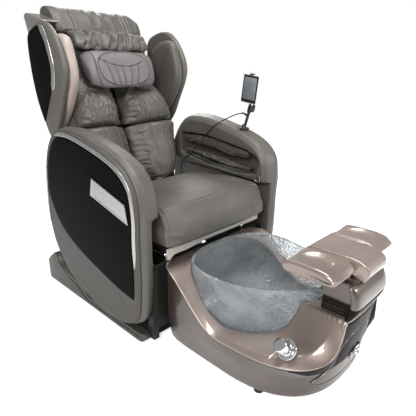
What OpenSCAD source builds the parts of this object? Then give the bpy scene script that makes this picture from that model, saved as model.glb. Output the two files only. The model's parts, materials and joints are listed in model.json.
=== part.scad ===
// Pedicure spa chair: a massage chair on a floor skid, with a foot tub in front of it.
// Millimetres. +Z is up, the sitter looks towards -Y, and "right" and "left" are the sitter's.
// The origin is on the floor, under the middle of the whole. All places are laid out from the
// seat datum, a point on the floor under the back of the seat, which lies at y = layout_shift.

/* [Arms] */
// Clear width between the padded faces of the two arms
arm_gap = 566; // [550:1:620]
// Thickness of the padded upper part of an arm, side cover included
arm_thick = 102; // [94:1:120]
// Thickness of the lower part of an arm, side cover included
arm_leg_thick = 63; // [56:1:74]
// Length of an arm, front to back
arm_length = 649; // [620:1:690]
// Height of an arm above its own lower edge
arm_height = 698; // [670:1:730]
// Height of an arm's lower edge above the floor
arm_lift = 57; // [50:1:64]
// Thickness of the moulded side cover
cover_thick = 14; // [10:1:18]
// Thickness of the glossy panel on the side cover
panel_thick = 3; // [2:0.5:4]
// Width of the bright strip between panel and upholstery
strip_width = 17; // [12:1:22]
// Depth of the forearm pocket in an arm
pocket_depth = 72; // [60:1:76]

/* [Seat] */
// Width of the seat cushion at its top
seat_width = 536; // [500:1:546]
// Depth of the seat cushion, front to back
seat_depth = 424; // [400:1:440]
// Thickness of the seat cushion
seat_thick = 142; // [120:1:150]
// Height of the seat pan's top above the floor
pan_height = 364; // [360:1:372]
// Thickness of the seat pan
pan_thick = 12; // [8:1:14]
// How far the seat runs forward from its usual place
seat_travel = 60; // [40:5:60]
// How far the seat runs back from its usual place
seat_setback = 40; // [20:5:40]
// Drop of the cloth flap under the front of the seat
flap_drop = 30; // [20:1:32]

/* [Backrest] */
// Lean of the backrest from upright, in degrees
back_lean = 17; // [12:1:22]
// Height of the recline hinge above the floor
hinge_height = 430; // [420:1:440]
// Diameter of a recline hinge pin
hinge_pin_d = 16; // [12:1:20]
// Width of the back cushion at its seam
back_width = 516; // [490:1:526]
// Height of the seam between the lower and upper back cushions, along the back
seam_height = 294; // [280:1:310]
// Depth of the valley between the two halves of the cushions
valley_depth = 105; // [60:1:125]
// Height of the rear casing above the hinge, along the back
casing_height = 800; // [780:1:815]
// Thickness of the rear casing
casing_thick = 26; // [20:1:32]
// Width of the head pillow
pillow_width = 356; // [330:1:372]
// Width of the hood over the top of the back
hood_width = 430; // [400:1:440]

/* [Head wings] */
// Outside width over the two wings
wing_span = 636; // [620:1:660]
// Thickness of a wing's upholstered shell
wing_thick = 30; // [24:1:36]
// Thickness of the glossy panel on a wing
wing_panel_thick = 3; // [2:0.5:4]
// Thickness of a wing's inner pad
wing_pad_thick = 45; // [36:1:46]

/* [Base] */
// Width of the floor skid
skid_width = 710; // [690:1:730]
// Height of the skid's lower band
skid_band = 34; // [28:1:38]
// Height of a foot under the skid and the tub
foot_height = 8; // [6:1:10]
// Diameter of a foot
foot_d = 44; // [36:1:50]
// Side of the square tube of the base frame
tube_side = 38; // [30:1:42]
// Height of the seat rails' top above the floor
rail_top = 318; // [314:1:320]
// Width of a seat rail
rail_width = 18; // [14:1:22]
// Distance from the middle to a seat rail
rail_offset = 215; // [205:1:225]

/* [Tub] */
// Width of the tub
tub_width = 556; // [530:1:566]
// Height of the deck at its low front rim
deck_low = 138; // [125:1:150]
// Height of the deck at its high back rim
deck_high = 298; // [285:1:302]
// Thickness of the tub's shell and deck
tub_wall = 7; // [5:0.5:9]
// Width of the foot bowl
bowl_width = 436; // [400:1:446]
// Length of the foot bowl
bowl_length = 492; // [470:1:500]
// Height of the bowl's rim above the floor
bowl_rim = 307; // [304:1:309]
// Depth of the bowl, inside
bowl_depth = 214; // [190:1:222]
// Thickness of the bowl's glass
bowl_glass = 8; // [6:0.5:10]
// Clearance between the bowl and the deck round it
bowl_gap = 4; // [3:0.5:6]

/* [Pedestal and footrest] */
// Width of the pedestal
pedestal_width = 210; // [190:1:230]
// Length of the pedestal, front to back
pedestal_length = 120; // [100:1:124]
// Height of the pedestal's top above the floor
pedestal_top = 388; // [370:1:400]
// Width of the three-pad footrest
footrest_width = 384; // [350:1:410]
// Depth of the footrest's outer pads
footrest_depth = 168; // [150:1:180]
// Height of the footrest's top above the floor
footrest_top = 456; // [450:1:476]
// Diameter of the footrest's hinge pin
footrest_pin_d = 12; // [8:1:16]

/* [Fittings] */
// Diameter of the mixer's face plate
mixer_plate_d = 62; // [56:1:70]
// Diameter of the mixer's knob
mixer_knob_d = 42; // [36:1:48]
// Diameter of the sprayer's socket bore
sprayer_bore_d = 26; // [22:1:30]
// Diameter of the jet's housing
jet_d = 46; // [38:1:54]
// Outside diameter of the drain's tail, which a hose pushes on to
drain_tail_d = 40; // [38:1:42]
// Diameter of the drain's plug
drain_plug_d = 34; // [28:1:40]

/* [Remote] */
// Diameter of the remote's post
post_d = 13; // [10:1:16]
// Length of the remote's post
post_length = 104; // [90:1:120]
// Width of the remote
remote_width = 84; // [74:1:96]
// Height of the remote
remote_height = 118; // [104:1:130]
// Thickness of the remote
remote_thick = 15; // [12:1:20]
// Diameter of the remote's cable
cable_d = 5; // [4:0.5:6]

/* [Fits] */
// Clearance on the radius of a running fit
running_fit = 0.05; // [0.02:0.01:0.1]
// Clearance between soft pieces and their neighbours
soft_clear = 0.3; // [0.2:0.1:0.6]

/* [Hidden] */
$fn = 48;

// ---- Datums: places from the seat datum, in mm ----
layout_shift = 243.9;          // from the seat datum to the middle of the whole
arm_front = -366;            // front of the arms
hinge_y = 150;               // recline hinge
seat_front = -378;           // front of the seat pan and cushion
tub_mid = -600;              // widest line of the tub
tub_front_reach = 320;       // from the widest line to the front, at the floor
tub_back_reach = 294;        // from the widest line to the back
bowl_mid = -510;             // widest line of the bowl
bowl_back_reach = 175;       // from the bowl's widest line to its back
crest_back = -785;           // back edge of the raised deck round the pedestal
pedestal_back = -848;        // back face of the pedestal
rail_front = -290;           // front end of the seat rails
rail_back = 240;
footrest_back = pedestal_back + 82;   // back edge of the footrest
slide_x = -60;               // axis of the seat's actuator
slide_z = 277;
remote_x = 335;              // post of the remote, on the left arm
remote_y = -189;

// ---- Derived sizes ----
arm_in = arm_gap / 2;
arm_face = arm_in + arm_thick;
arm_leg_in = arm_face - arm_leg_thick;
arm_base_face = arm_face - cover_thick;
cover_inset = 16;
wing_face = wing_span / 2;
wing_in = wing_face - wing_thick;
band_top = foot_height + skid_band;
pan_floor = band_top - 22;
rail_height = 22;
tube_top = rail_top - rail_height;
carriage_floor = rail_top + 4;
pan_floor_z = pan_height - pan_thick;
pin_r = hinge_pin_d / 2;
frame_lug_in = 200;
carriage_lug_in = 214;
lug_thick = 12;
push_z = 333;                // axis of the recline actuator
push_y = 34;                 // lever pin behind the hinge, at rest
push_r = 12;
rod_r = 7;
lever_pin_r = 6;
tub_floor = foot_height + 14;
tub_half = tub_width / 2;
bowl_bottom = bowl_rim - bowl_depth - bowl_glass;
bowl_front_reach = bowl_length - bowl_back_reach;
pedestal_half = pedestal_width / 2;
pedestal_foot = 281;         // height of the pedestal's foot on the deck
deck_crest = pedestal_foot - soft_clear;
rim_flare = 30;              // how far the rim stands out in front
corner_draw = 6;             // how far it is drawn in at the front corners
boss_r = 84;                 // boss that carries the bowl
drain_r = 24;                // drain hole of the bowl
drain_bore_r = drain_r + 12;
drain_tail_z = 30;           // lower end of the drain's tail
plug_stem_r = 5;
jet_r = jet_d / 2;
jet_y = -480;
bowl_foot_share = 0.45;      // size of the bowl's flat bottom, as a share of its rim
jet_z = 176;
jet_x = -206;
foot_pin_y = pedestal_back - 20;
foot_pin_z = pedestal_top + 18;
foot_low = pedestal_top + 30;
mixer_turn = 228;
mixer_reach = 0.35;
mixer_rise = 25;
mixer_stem_r = 14;
spindle_r = 5;
lever_turn = -12;
sprayer_x = 24;
sprayer_z = 108;
sprayer_pitch = 9;
sprayer_tilt = 14;
socket_r = sprayer_bore_d / 2 + 4;
post_lean = 19;
post_foot_z = 702;
remote_lean = 8;
remote_mid = [330, -226, 876];
tilt_axis = [347, -222, 832];

// ---- Curves ----
function blend(a, b, t) = a + (b - a) * t;
function ease(t) = let (u = min(1, max(0, t))) u * u * (3 - 2 * u);
function power(v, e) = sign(v) * pow(abs(v), e);
function wrap(pts, i) = pts[(i + len(pts)) % len(pts)];
function curve_at(p, q, r, s, t) =
    0.5 * (2 * q + (r - p) * t + (2 * p - 5 * q + 4 * r - s) * t * t + (3 * q - p - 3 * r + s) * t * t * t);
function closed_curve(pts, steps) = [
    for (i = [0:len(pts) - 1], k = [0:steps - 1])
        curve_at(wrap(pts, i - 1), pts[i], wrap(pts, i + 1), wrap(pts, i + 2), k / steps)
];
function open_curve(pts, steps) = concat([
    for (i = [0:len(pts) - 2], k = [0:steps - 1])
        curve_at(pts[max(i - 1, 0)], pts[i], pts[i + 1], pts[min(i + 2, len(pts) - 1)], k / steps)
], [pts[len(pts) - 1]]);
function middle(ring) = [for (k = [0:2]) [for (p = ring) p[k]] * [for (p = ring) 1] / len(ring)];
function run_length(pts) = len(pts) < 2 ? 0 : [for (i = [1:len(pts) - 1]) norm(pts[i] - pts[i - 1])]
    * [for (i = [1:len(pts) - 1]) 1];

// A solid through a stack of rings. Each ring runs anticlockwise, seen from the last ring's side.
module loft(rings) {
    n = len(rings[0]);
    m = len(rings);
    points = concat([for (r = rings, p = r) p], [middle(rings[0]), middle(rings[m - 1])]);
    sides = [
        for (j = [0:m - 2], i = [0:n - 1])
            let (a = j * n + i, b = j * n + (i + 1) % n) each [[a, b + n, b], [a, a + n, b + n]]
    ];
    ends = [
        for (i = [0:n - 1])
            let (k = (i + 1) % n) each [[m * n, i, k], [m * n + 1, (m - 1) * n + k, (m - 1) * n + i]]
    ];
    polyhedron(points = points, faces = concat(sides, ends));
}

// A closed band: the rings go round its section, up the outside and down the inside.
module band(rings) {
    n = len(rings[0]);
    m = len(rings);
    faces = [
        for (j = [0:m - 1], i = [0:n - 1])
            let (k = (i + 1) % n, a = j * n + i, b = j * n + k, c = (j + 1) % m * n + i, d = (j + 1) % m * n + k)
                each [[a, d, b], [a, c, d]]
    ];
    polyhedron(points = [for (r = rings, p = r) p], faces = faces);
}

module laid_out() translate([0, layout_shift, 0]) children();
module in_back() laid_out() translate([0, hinge_y, hinge_height]) rotate([-back_lean, 0, 0]) children();
module both_sides() {
    children();
    mirror([1, 0, 0]) children();
}
// side 1 is the sitter's left (+X), side -1 the right.
module on_side(side) mirror([side < 0 ? 1 : 0, 0, 0]) children();
// A slab from x0 to x1 whose 2D outline is drawn in the YZ plane.
module side_slab(x0, x1) translate([x0, 0, 0]) rotate([90, 0, 90]) linear_extrude(x1 - x0) children();
module block(low, high) translate(low) cube(high - low);
module bar_y(r, y0, y1) translate([0, y0, 0]) rotate([-90, 0, 0]) cylinder(r = r, h = y1 - y0);
module bar_x(r, x0, x1) translate([x0, 0, 0]) rotate([0, 90, 0]) cylinder(r = r, h = x1 - x0);
module rounded_plan(w, y0, y1, r) {
    translate([-w / 2 + r, y0]) square([w - 2 * r, y1 - y0]);
    translate([-w / 2, y0 + r]) square([w, y1 - y0 - 2 * r]);
    for (x = [-w / 2 + r, w / 2 - r], y = [y0 + r, y1 - r]) translate([x, y]) circle(r = r);
}

// ---- Base ----
skid_side = [
    [-300, foot_height], [-316, 22], [-308, 40], [-294, band_top], [60, band_top], [130, 78], [216, 91],
    [286, 111], [332, 155], [345, 160], [404, 118], [440, 80], [456, 44], [448, 18], [424, foot_height]
];
module base_skid() color("dimgray") laid_out() intersection() {
    linear_extrude(200) rounded_plan(skid_width, -322, 460, 44);
    union() {
        both_sides() side_slab(skid_width / 2 - 32, skid_width / 2) polygon(skid_side);
        side_slab(1 - skid_width / 2, skid_width / 2 - 1)
            polygon([[330, foot_height], [330, 154], [345, 160], [404, 118], [440, 80], [456, 44], [448, 18],
                [424, foot_height]]);
        block([-skid_width / 2 + 50, -300, pan_floor - 8], [skid_width / 2 - 50, 340, pan_floor]);
    }
}
module base_frame() color("black") laid_out() {
    h = tube_side / 2;
    floor_z = pan_floor;
    both_sides() {
        block([rail_offset - h, -298, tube_top - tube_side], [rail_offset + h, 290, tube_top]);
        for (y = [-279, 260]) block([rail_offset - h, y - h, floor_z], [rail_offset + h, y + h, tube_top - 1]);
        for (y = [-110, 150]) block([rail_offset, y - h, tube_top - tube_side], [arm_leg_in, y + h, tube_top]);
        block([arm_leg_in - 24, -336, floor_z], [arm_leg_in, -304, tube_top]);
        block([rail_offset, -336 + h, floor_z], [arm_leg_in - 10, -309, floor_z + 6]);
    }
    block([-rail_offset, 260 - h, tube_top - tube_side], [rail_offset, 260 + h, tube_top]);
    block([-rail_offset, -298, tube_top - tube_side], [rail_offset, -298 + h, tube_top - 4]);
    cable_end = cable_points[len(cable_points) - 1];
    translate([cable_end[0], cable_end[1], tube_top]) cylinder(d = 2.6 * cable_d, h = cable_end[2] + 3 - tube_top);
}
module feet() color("black") laid_out() {
    both_sides() {
        for (y = [-262, 300]) translate([skid_width / 2 - 30, y, 0]) cylinder(d = foot_d, h = foot_height);
        for (y = [-372, -742]) translate([tub_half - 48, y, 0]) cylinder(d = foot_d * 0.75, h = tub_floor);
    }
}
module kick_panel() color("black") laid_out()
    block([-arm_leg_in + 24, tub_at(max(back_turns), 0)[1] + soft_clear, pan_floor], [arm_leg_in - 24, -298, tube_top]);
module rail_section(grow) {
    translate([-rail_width / 2 - grow, 12]) square([rail_width + 2 * grow, rail_height - 12 + grow]);
    translate([-rail_width / 4 - grow, -grow]) square([rail_width / 2 + 2 * grow, rail_height]);
}
module seat_rails() color("silver") laid_out() both_sides()
    translate([rail_offset, rail_back, tube_top]) rotate([90, 0, 0]) linear_extrude(rail_back - rail_front) rail_section(0);
slide_bore_end = 225;
module slide_actuator() color("gray") laid_out() translate([slide_x, 0, slide_z]) {
    difference() {
        bar_y(17, 0, 260 - tube_side / 2);
        bar_y(rod_r + running_fit, -1, slide_bore_end);
    }
    block([17, 60, -16], [52, 130, 16]);
}

// ---- Arms ----
// The outline in shares of the arm's length and height, from the front up and round the back.
arm_shape = [
    [0.006, 0.52], [0, 0.663], [0.032, 0.799], [0.16, 0.898], [0.41, 0.966], [0.656, 1], [0.818, 0.968],
    [0.941, 0.821], [0.995, 0.606], [1, 0.405], [0.934, 0.236], [0.749, 0.087], [0.518, 0.013],
    [0.256, 0.004], [0.071, 0.069], [0.017, 0.248]
];
arm_curve = closed_curve([for (p = arm_shape) [arm_front + p[0] * arm_length, arm_lift + p[1] * arm_height]], 3);
module arm_slice(inset) offset(delta = -inset) polygon(arm_curve);
// The forearm pocket in the padded inner face.
pocket_shape = [[-318, 580], [-302, 524], [-190, 516], [0, 532], [170, 562], [170, 664], [0, 664], [-240, 626],
    [-300, 604]];
module arm_body(side) color("rosybrown") laid_out() difference() {
    on_side(side) difference() {
        union() {
            hull() {
                side_slab(arm_base_face - 1, arm_base_face) arm_slice(9);
                side_slab(arm_base_face - 24, arm_base_face - 20) arm_slice(0);
                side_slab(arm_leg_in, arm_leg_in + 1) arm_slice(10);
            }
            intersection() {
                hull() {
                    side_slab(arm_base_face - 26, arm_base_face - 20) arm_slice(1);
                    side_slab(arm_in + 16, arm_in + 17) arm_slice(9);
                    side_slab(arm_in, arm_in + 1) arm_slice(30);
                }
                side_slab(arm_in - 1, arm_face) polygon([[-420, 488], [160, 524], [420, 540], [420, 820], [-420, 820]]);
            }
        }
        side_slab(arm_in - 1, arm_in + pocket_depth) polygon(pocket_shape);
    }
    if (side > 0) translate([remote_x, remote_y, post_foot_z]) cylinder(r = 22.3, h = 40);
}
module arm_cover(side) color("gray") laid_out() on_side(side) hull() {
    side_slab(arm_face - 2, arm_face) arm_slice(cover_inset);
    side_slab(arm_base_face, arm_base_face + 2) arm_slice(cover_inset - 5);
}
// The lower edge of the glossy panel, back to front.
panel_edge = [[262, 600], [250, 560], [236, 465], [195, 388], [132, 331], [29, 284], [-110, 244], [-237, 215],
    [-330, 205]];
module panel_region() polygon(concat(open_curve(panel_edge, 2), [[-420, 205], [-420, 800], [330, 800], [330, 600]]));
module arm_panel(side) color("black") laid_out() on_side(side) side_slab(arm_face, arm_face + panel_thick)
    intersection() {
        arm_slice(cover_inset + strip_width + 2);
        panel_region();
    }
module arm_trim(side) color("silver") laid_out() on_side(side) {
    side_slab(arm_face, arm_face + panel_thick) {
        intersection() {
            difference() {
                arm_slice(cover_inset + 1);
                arm_slice(cover_inset + 1 + strip_width);
            }
            polygon([[-420, 500], [-300, 540], [90, 700], [90, 820], [-420, 820]]);
        }
        intersection() {
            difference() {
                arm_slice(cover_inset);
                translate([-9, 2]) arm_slice(cover_inset + 3);
            }
            polygon([[180, 350], [330, 350], [330, 562], [180, 562]]);
        }
    }
    // Rim of the small slot below the pocket.
    translate([arm_in, -314, 509]) rotate([0, -90, 0]) difference() {
        cylinder(r = 12, h = 2.5);
        translate([0, 0, -1]) cylinder(r = 8, h = 5);
    }
}
module arm_plates() color("silver") laid_out() both_sides()
    side_slab(arm_face + panel_thick, arm_face + panel_thick + 5)
        polygon([[-117, 602], [-306, 549], [-318, 482], [-99, 537]]);
function bag_ring(y, z, rx, rz) = [
    for (i = [0:15]) let (a = 22.5 * i)
        [arm_in + pocket_depth - soft_clear - bag_reach + rx * power(sin(a), 0.7), y, z + rz * power(cos(a), 0.7)]
];
bag_reach = (pocket_depth - 14) / 2;
module arm_bags(side) color("gray") laid_out() on_side(side) {
    loft([for (s = [0, 0.04, 0.25, 0.5, 0.75, 0.96, 1])
        let (y = blend(-236, 168, s), swell = 0.5 + 0.5 * sqrt(sin(180 * min(0.96, max(0.04, s)))))
            bag_ring(y, blend(600, 637, ease(s * 1.2)), bag_reach * swell, 24 * swell)]);
    loft([for (s = [0, 0.04, 0.25, 0.5, 0.75, 0.96, 1])
        let (y = blend(-250, 168, s), swell = 0.5 + 0.5 * sqrt(sin(180 * min(0.96, max(0.04, s)))))
            bag_ring(y, blend(536, 575, ease(s)), bag_reach * swell, 14 * swell)]);
}

// ---- Seat ----
module hinge_plate(r, foot) {
    circle(r = r);
    polygon(foot);
}
module seat_carriage() color("black") laid_out() difference() {
    union() {
        both_sides() {
            block([rail_offset - 11, -300, carriage_floor], [rail_offset + 15, rail_back - seat_setback - 10, pan_floor_z]);
            for (y = [rail_front + seat_travel + 72, 120]) difference() {
                block([rail_offset - 20, y - 26, tube_top + 4], [rail_offset + 20, y + 26, carriage_floor + 2]);
                translate([rail_offset, y + 40, tube_top]) rotate([90, 0, 0]) linear_extrude(80)
                    rail_section(soft_clear);
            }
            translate([0, hinge_y, hinge_height]) side_slab(carriage_lug_in, carriage_lug_in + lug_thick)
                hinge_plate(24, [[-24, 0], [-24, carriage_floor - hinge_height], [30, carriage_floor - hinge_height],
                    [24, 0]]);
        }
        for (y = [-300, 62]) block([-rail_offset, y, carriage_floor], [rail_offset, y + 28, pan_floor_z]);
        block([-seat_width / 2 + 18, seat_front + 36, pan_floor_z], [seat_width / 2 - 18, 90, pan_height]);
        block([slide_x - 14, -166, slide_z - 12], [slide_x + 14, -142, pan_floor_z]);
    }
    translate([0, 0, push_z]) bar_y(push_r, 50, 100);
    both_sides() translate([0, hinge_y, hinge_height]) bar_x(pin_r, 180, 240);
}
module slide_rod() color("silver") laid_out() translate([slide_x, 0, slide_z])
    bar_y(rod_r, -142, slide_bore_end - seat_setback - 15);
// Half of the seat's side profile is its front roll; the rest is nearly flat.
seat_back = seat_front + seat_depth + 8;
seat_low = pan_height + soft_clear;
seat_profile = [
    [seat_front + 12, seat_low + 4], [seat_front + 150, seat_low], [seat_back - 20, seat_low],
    [seat_back, seat_low + 60], [seat_back - 14, seat_low + 122], [seat_front + 190, seat_low + seat_thick + 5],
    [seat_front + 62, seat_low + seat_thick - 1], [seat_front + 26, seat_low + seat_thick - 22],
    [seat_front + 4, seat_low + 70], [seat_front, seat_low + 24]
];
module seat_cushion() color("rosybrown") laid_out() {
    ring = closed_curve(seat_profile, 3);
    centre = [(seat_front + seat_back) / 2, seat_low + seat_thick / 2];
    loft([for (s = [-1, -0.985, -0.93, -0.8, -0.4, 0, 0.4, 0.8, 0.93, 0.985, 1])
        let (pull = 1 - 0.09 * pow(abs(s), 9), crown = 7 * (1 - s * s))
            [for (p = ring) [s * seat_width / 2 * (p[1] < seat_low + 60 ? 1.03 : 1),
                centre[0] + (p[0] - centre[0]) * pull,
                max(seat_low, centre[1] + (p[1] - centre[1]) * pull + (p[1] > centre[1] ? crown : 0))]]]);
}
module seat_flap() color("dimgray") laid_out() translate([0, seat_front + 32, pan_height - flap_drop])
    block([20 - seat_width / 2, 0, 0], [seat_width / 2 - 20, 3.7, flap_drop - 0.4]);
module recline_pins() color("silver") laid_out() both_sides() translate([0, hinge_y, hinge_height]) {
    bar_x(pin_r, frame_lug_in - 2, carriage_lug_in + lug_thick + 2);
    bar_x(pin_r * 1.5, carriage_lug_in + lug_thick, carriage_lug_in + lug_thick + 4);
}
module recline_actuator() color("gray") laid_out() translate([0, 0, push_z]) {
    difference() {
        bar_y(push_r, -150, 92);
        bar_y(rod_r + running_fit, -120, 97);
    }
    block([-20, -196, -11], [20, -150, pan_floor_z - soft_clear - push_z]);
}
module recline_rod() color("silver") laid_out() translate([0, 0, push_z]) {
    fork_y = hinge_y + push_y;
    bar_y(rod_r, -20, fork_y - 21);
    // The fork is open at the top, so that the lever's pin can rise and fall in it.
    difference() {
        block([-16, fork_y - 22, -17], [16, fork_y + 14, 17]);
        block([-6.6, fork_y - 18.5, -18], [6.6, fork_y + 15, 18]);
        block([-17, fork_y - 7.2, -13], [17, fork_y + 7.2, 18]);
    }
}

// ---- Backrest, in its own frame: origin on the hinge, +Z up the back ----
upright_x = 190;
cushion_back = 50;
frame_front = cushion_back + soft_clear;
frame_back = 92;
module back_frame() color("black") in_back() difference() {
    union() {
        both_sides() {
            block([upright_x - 11, frame_front, -8], [upright_x + 11, frame_back, 660]);
            side_slab(frame_lug_in, frame_lug_in + lug_thick)
                hinge_plate(22, [[-20, -8], [0, -22], [80, -8], [90, 44], [64, 44]]);
            block([upright_x, 68, 578], [wing_in, frame_back, 606]);
        }
        for (z = [30, 620]) block([-upright_x, frame_front, z], [upright_x, frame_back, z + 24]);
        block([-upright_x, 64, -8], [upright_x, frame_back, 12]);
        // Lever that the recline rod works, and its cross pin.
        rotate([back_lean, 0, 0]) side_slab(-6, 6) polygon([[62, -22], [push_y + 12, push_z - hinge_height - 6],
            [push_y - 12, push_z - hinge_height - 6], [push_y - 12, push_z - hinge_height + 8], [52, 4], [86, 4]]);
        rotate([back_lean, 0, 0]) translate([0, push_y, push_z - hinge_height + 3]) bar_x(lever_pin_r, -15, 15);
    }
    both_sides() bar_x(pin_r + running_fit, 180, 240);
}
casing_front = frame_back + soft_clear;
casing_half = wing_in - 1.5;
casing_side = [
    [casing_half - 90, 2], [casing_half - 50, 8], [casing_half - 24, 60], [casing_half - 8, 240], [casing_half, 430],
    [casing_half, 600], [casing_half - 3, 690], [casing_half - 18, 722], [casing_half - 70, 730]
];
module casing_slice(inset) offset(delta = -inset) polygon(closed_curve(concat(casing_side,
    [for (p = reversed(casing_side)) [-p[0], p[1]]]), 2));
// A slab from y0 to y1 whose 2D outline is drawn in the XZ plane.
module back_slab(y0, y1) translate([0, y1, 0]) rotate([90, 0, 0]) linear_extrude(y1 - y0) children();
module back_shell() color("dimgray") in_back() {
    intersection() {
        hull() {
            back_slab(casing_front, casing_front + 2) casing_slice(0);
            back_slab(casing_front + casing_thick - 6, casing_front + casing_thick - 4) casing_slice(16);
            back_slab(casing_front + casing_thick - 1, casing_front + casing_thick) casing_slice(60);
        }
        block([-400, 0, -60], [400, 200, 735]);
    }
    // Corner that stands out past the sitter's right end of the hood.
    mirror([1, 0, 0]) hull() {
        block([hood_width / 2 + 1, 60, 728], [300, 66, 740]);
        block([hood_width / 2 + 1, casing_front + 4, 726], [288, casing_front + casing_thick - 4, 730]);
        block([hood_width / 2 + 1, 74, casing_height - 6], [296, casing_front + 6, casing_height]);
        block([hood_width / 2 + 1, -30, 727], [286, -24, 732]);
    }
}
// One half of a cushion in plan: from the valley round the front and back along the flat rear.
function half_plan(half, bulge, valley) = closed_curve([
    [1, valley], [half * 0.16, valley * 0.3 + bulge * 0.35], [half * 0.42, bulge * 0.92], [half * 0.72, bulge],
    [half * 0.95, bulge * 0.66], [half, bulge * 0.1], [half * 0.985, cushion_back - 2], [1, cushion_back]
], 3);
module cushion_half(stations) loft([
    for (s = stations) [for (p = half_plan(s[1], s[2], s[3])) [max(0.4, p[0]), min(cushion_back, p[1]), s[0]]]
]);
back_half = back_width / 2;
module back_cushion() color("rosybrown") in_back() both_sides() cushion_half([
    [seam_height + 2, back_half - 14, -70, valley_depth - 90], [seam_height + 10, back_half - 6, -88, valley_depth - 86],
    [seam_height + 42, back_half - 14, -97, valley_depth - 76],
    [seam_height + 90, back_half - 24, -88, valley_depth - 66],
    [seam_height + 128, back_half - 33, -62, valley_depth - 60],
    [seam_height + 158, back_half - 42, -30, valley_depth - 60],
    [seam_height + 210, back_half - 54, -17, valley_depth - 80], [seam_height + 330, back_half - 60, -12, valley_depth - 95],
    [seam_height + 366, back_half - 74, 0, valley_depth - 95], [seam_height + 380, back_half - 96, 20, valley_depth - 80]
]);
module lumbar_cushion() color("rosybrown") in_back() both_sides() cushion_half([
    [28, 180, -64, 20], [36, 188, -88, 12], [90, 208, -102, 12], [160, 226, -100, 10], [230, back_half - 18, -92, 8],
    [seam_height - 22, back_half - 2, -90, valley_depth - 92], [seam_height - 8, back_half - 4, -84, valley_depth - 90],
    [seam_height - 1, back_half - 12, -68, valley_depth - 88]
]);
hood_profile = [
    [0, 704], [40, 698], [83, 706], [91, 739], [119, 745], [124, 790], [108, 824], [70, 829], [30, 812], [8, 776],
    [-2, 736]
];
strip_profile = [[-60, 612.5], [-30, 619], [-14, 650], [14, 700], [-12, 712], [-52, 682], [-74, 630]];
function scaled_ring(x, ring, centre, share) = [for (p = ring) [x, blend(centre[0], p[0], share), blend(centre[1], p[1], share)]];
module head_hood() color("dimgray") in_back() {
    loft([for (s = [-1, -0.97, -0.86, -0.45, 0, 0.45, 0.86, 0.97, 1])
        scaled_ring(s * hood_width / 2, closed_curve(hood_profile, 2), [60, 750], 1 - 0.2 * pow(abs(s), 12))]);
    loft([for (s = [-1, -0.94, -0.6, 0, 0.6, 0.94, 1])
        scaled_ring(s * (pillow_width / 2 + 4), closed_curve(strip_profile, 2), [-36, 660], 1 - 0.3 * pow(abs(s), 8))]);
}
pillow_profile = [[-75, 444], [-52, 456], [-21.7, 500], [-19.7, 580], [-60, 612], [-86, 590], [-97, 530], [-92, 474]];
module head_pillow() color("thistle") in_back() {
    ring = closed_curve(pillow_profile, 2);
    // Five channels are drawn into the lower front.
    loft([for (s = [-1, -0.97, -0.86, -0.66, -0.5, -0.42, -0.34, -0.26, -0.18, -0.1, 0, 0.1, 0.18, 0.26, 0.34, 0.42, 0.5,
        0.66, 0.86, 0.97, 1])
        let (groove = abs(s) < 0.5 ? 4 * pow(cos(s * 180 * 6.25), 2) : 0)
            [for (p = scaled_ring(s * pillow_width / 2, ring, [-60, 528], 1 - 0.3 * pow(abs(s), 8)))
                [p[0], p[1] + (p[1] < -80 && p[2] < 545 ? groove : 0), p[2]]]]);
}

// ---- Head wings: outline in the back's frame, from the front up and round the back ----
wing_shape = [
    [-165, 532], [-140, 635], [-85, 703], [0, 722], [70, 703], [108, 600], [124, 480], [114, 380], [85, 290],
    [5, 318], [-70, 390], [-140, 462]
];
wing_curve = closed_curve(wing_shape, 3);
module wing_slice(inset) offset(delta = -inset) polygon(wing_curve);
module wing_shell(side) color("rosybrown") in_back() on_side(side) hull() {
    side_slab(wing_face - 1, wing_face) wing_slice(14);
    side_slab(wing_face - 12, wing_face - 10) wing_slice(0);
    side_slab(wing_in, wing_in + 1) wing_slice(9);
}
wing_edge = [[-39, 720], [-71, 644], [-75, 575], [-70, 524], [-30, 459], [29, 410], [110, 350]];
module wing_behind(shift) polygon(concat([for (p = open_curve(wing_edge, 2)) [p[0] - shift, p[1]]], [[200, 350], [200, 760], [-39 - shift, 760]]));
module wing_panel(side) color("black") in_back() on_side(side) side_slab(wing_face, wing_face + wing_panel_thick)
    intersection() {
        wing_slice(15);
        wing_behind(0);
    }
module wing_trim(side) color("silver") in_back() on_side(side) side_slab(wing_face, wing_face + wing_panel_thick)
    intersection() {
        wing_slice(15);
        difference() {
            wing_behind(26);
            wing_behind(1);
        }
        polygon([[-300, 455], [300, 455], [300, 800], [-300, 800]]);
    }
pad_shape = [
    [-160, 556], [-146, 622], [-78, 650], [0, 636], [52, 566], [66, 470], [40, 402], [-30, 392], [-90, 408],
    [-138, 452], [-158, 505]
];
module pad_slice(inset) offset(delta = -inset) polygon(closed_curve(pad_shape, 3));
module wing_pad(side) color("mistyrose") in_back() on_side(side) {
    out_x = wing_in - soft_clear;
    hull() {
        side_slab(out_x - 1, out_x) pad_slice(16);
        side_slab(out_x - 26, out_x - 18) pad_slice(0);
        side_slab(out_x - wing_pad_thick, out_x - wing_pad_thick + 1) pad_slice(14);
    }
}

// ---- Massage unit, between the cushions and the casing ----
massage_x = 70;
massage_y = 70;
massage_low = 190;
module massage_rails() color("silver") in_back() both_sides()
    translate([massage_x, massage_y + 6, 54]) cylinder(r = 6, h = 566);
module massage_carriage() color("gray") in_back() {
    difference() {
        block([-92, 62, massage_low], [92, 88, massage_low + 90]);
        both_sides() translate([massage_x, massage_y + 6, massage_low - 1]) cylinder(r = 6 + running_fit, h = 92);
    }
    both_sides() for (z = [massage_low + 16, massage_low + 74]) translate([0, 64, z]) bar_x(11, 34, 58);
}

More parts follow.
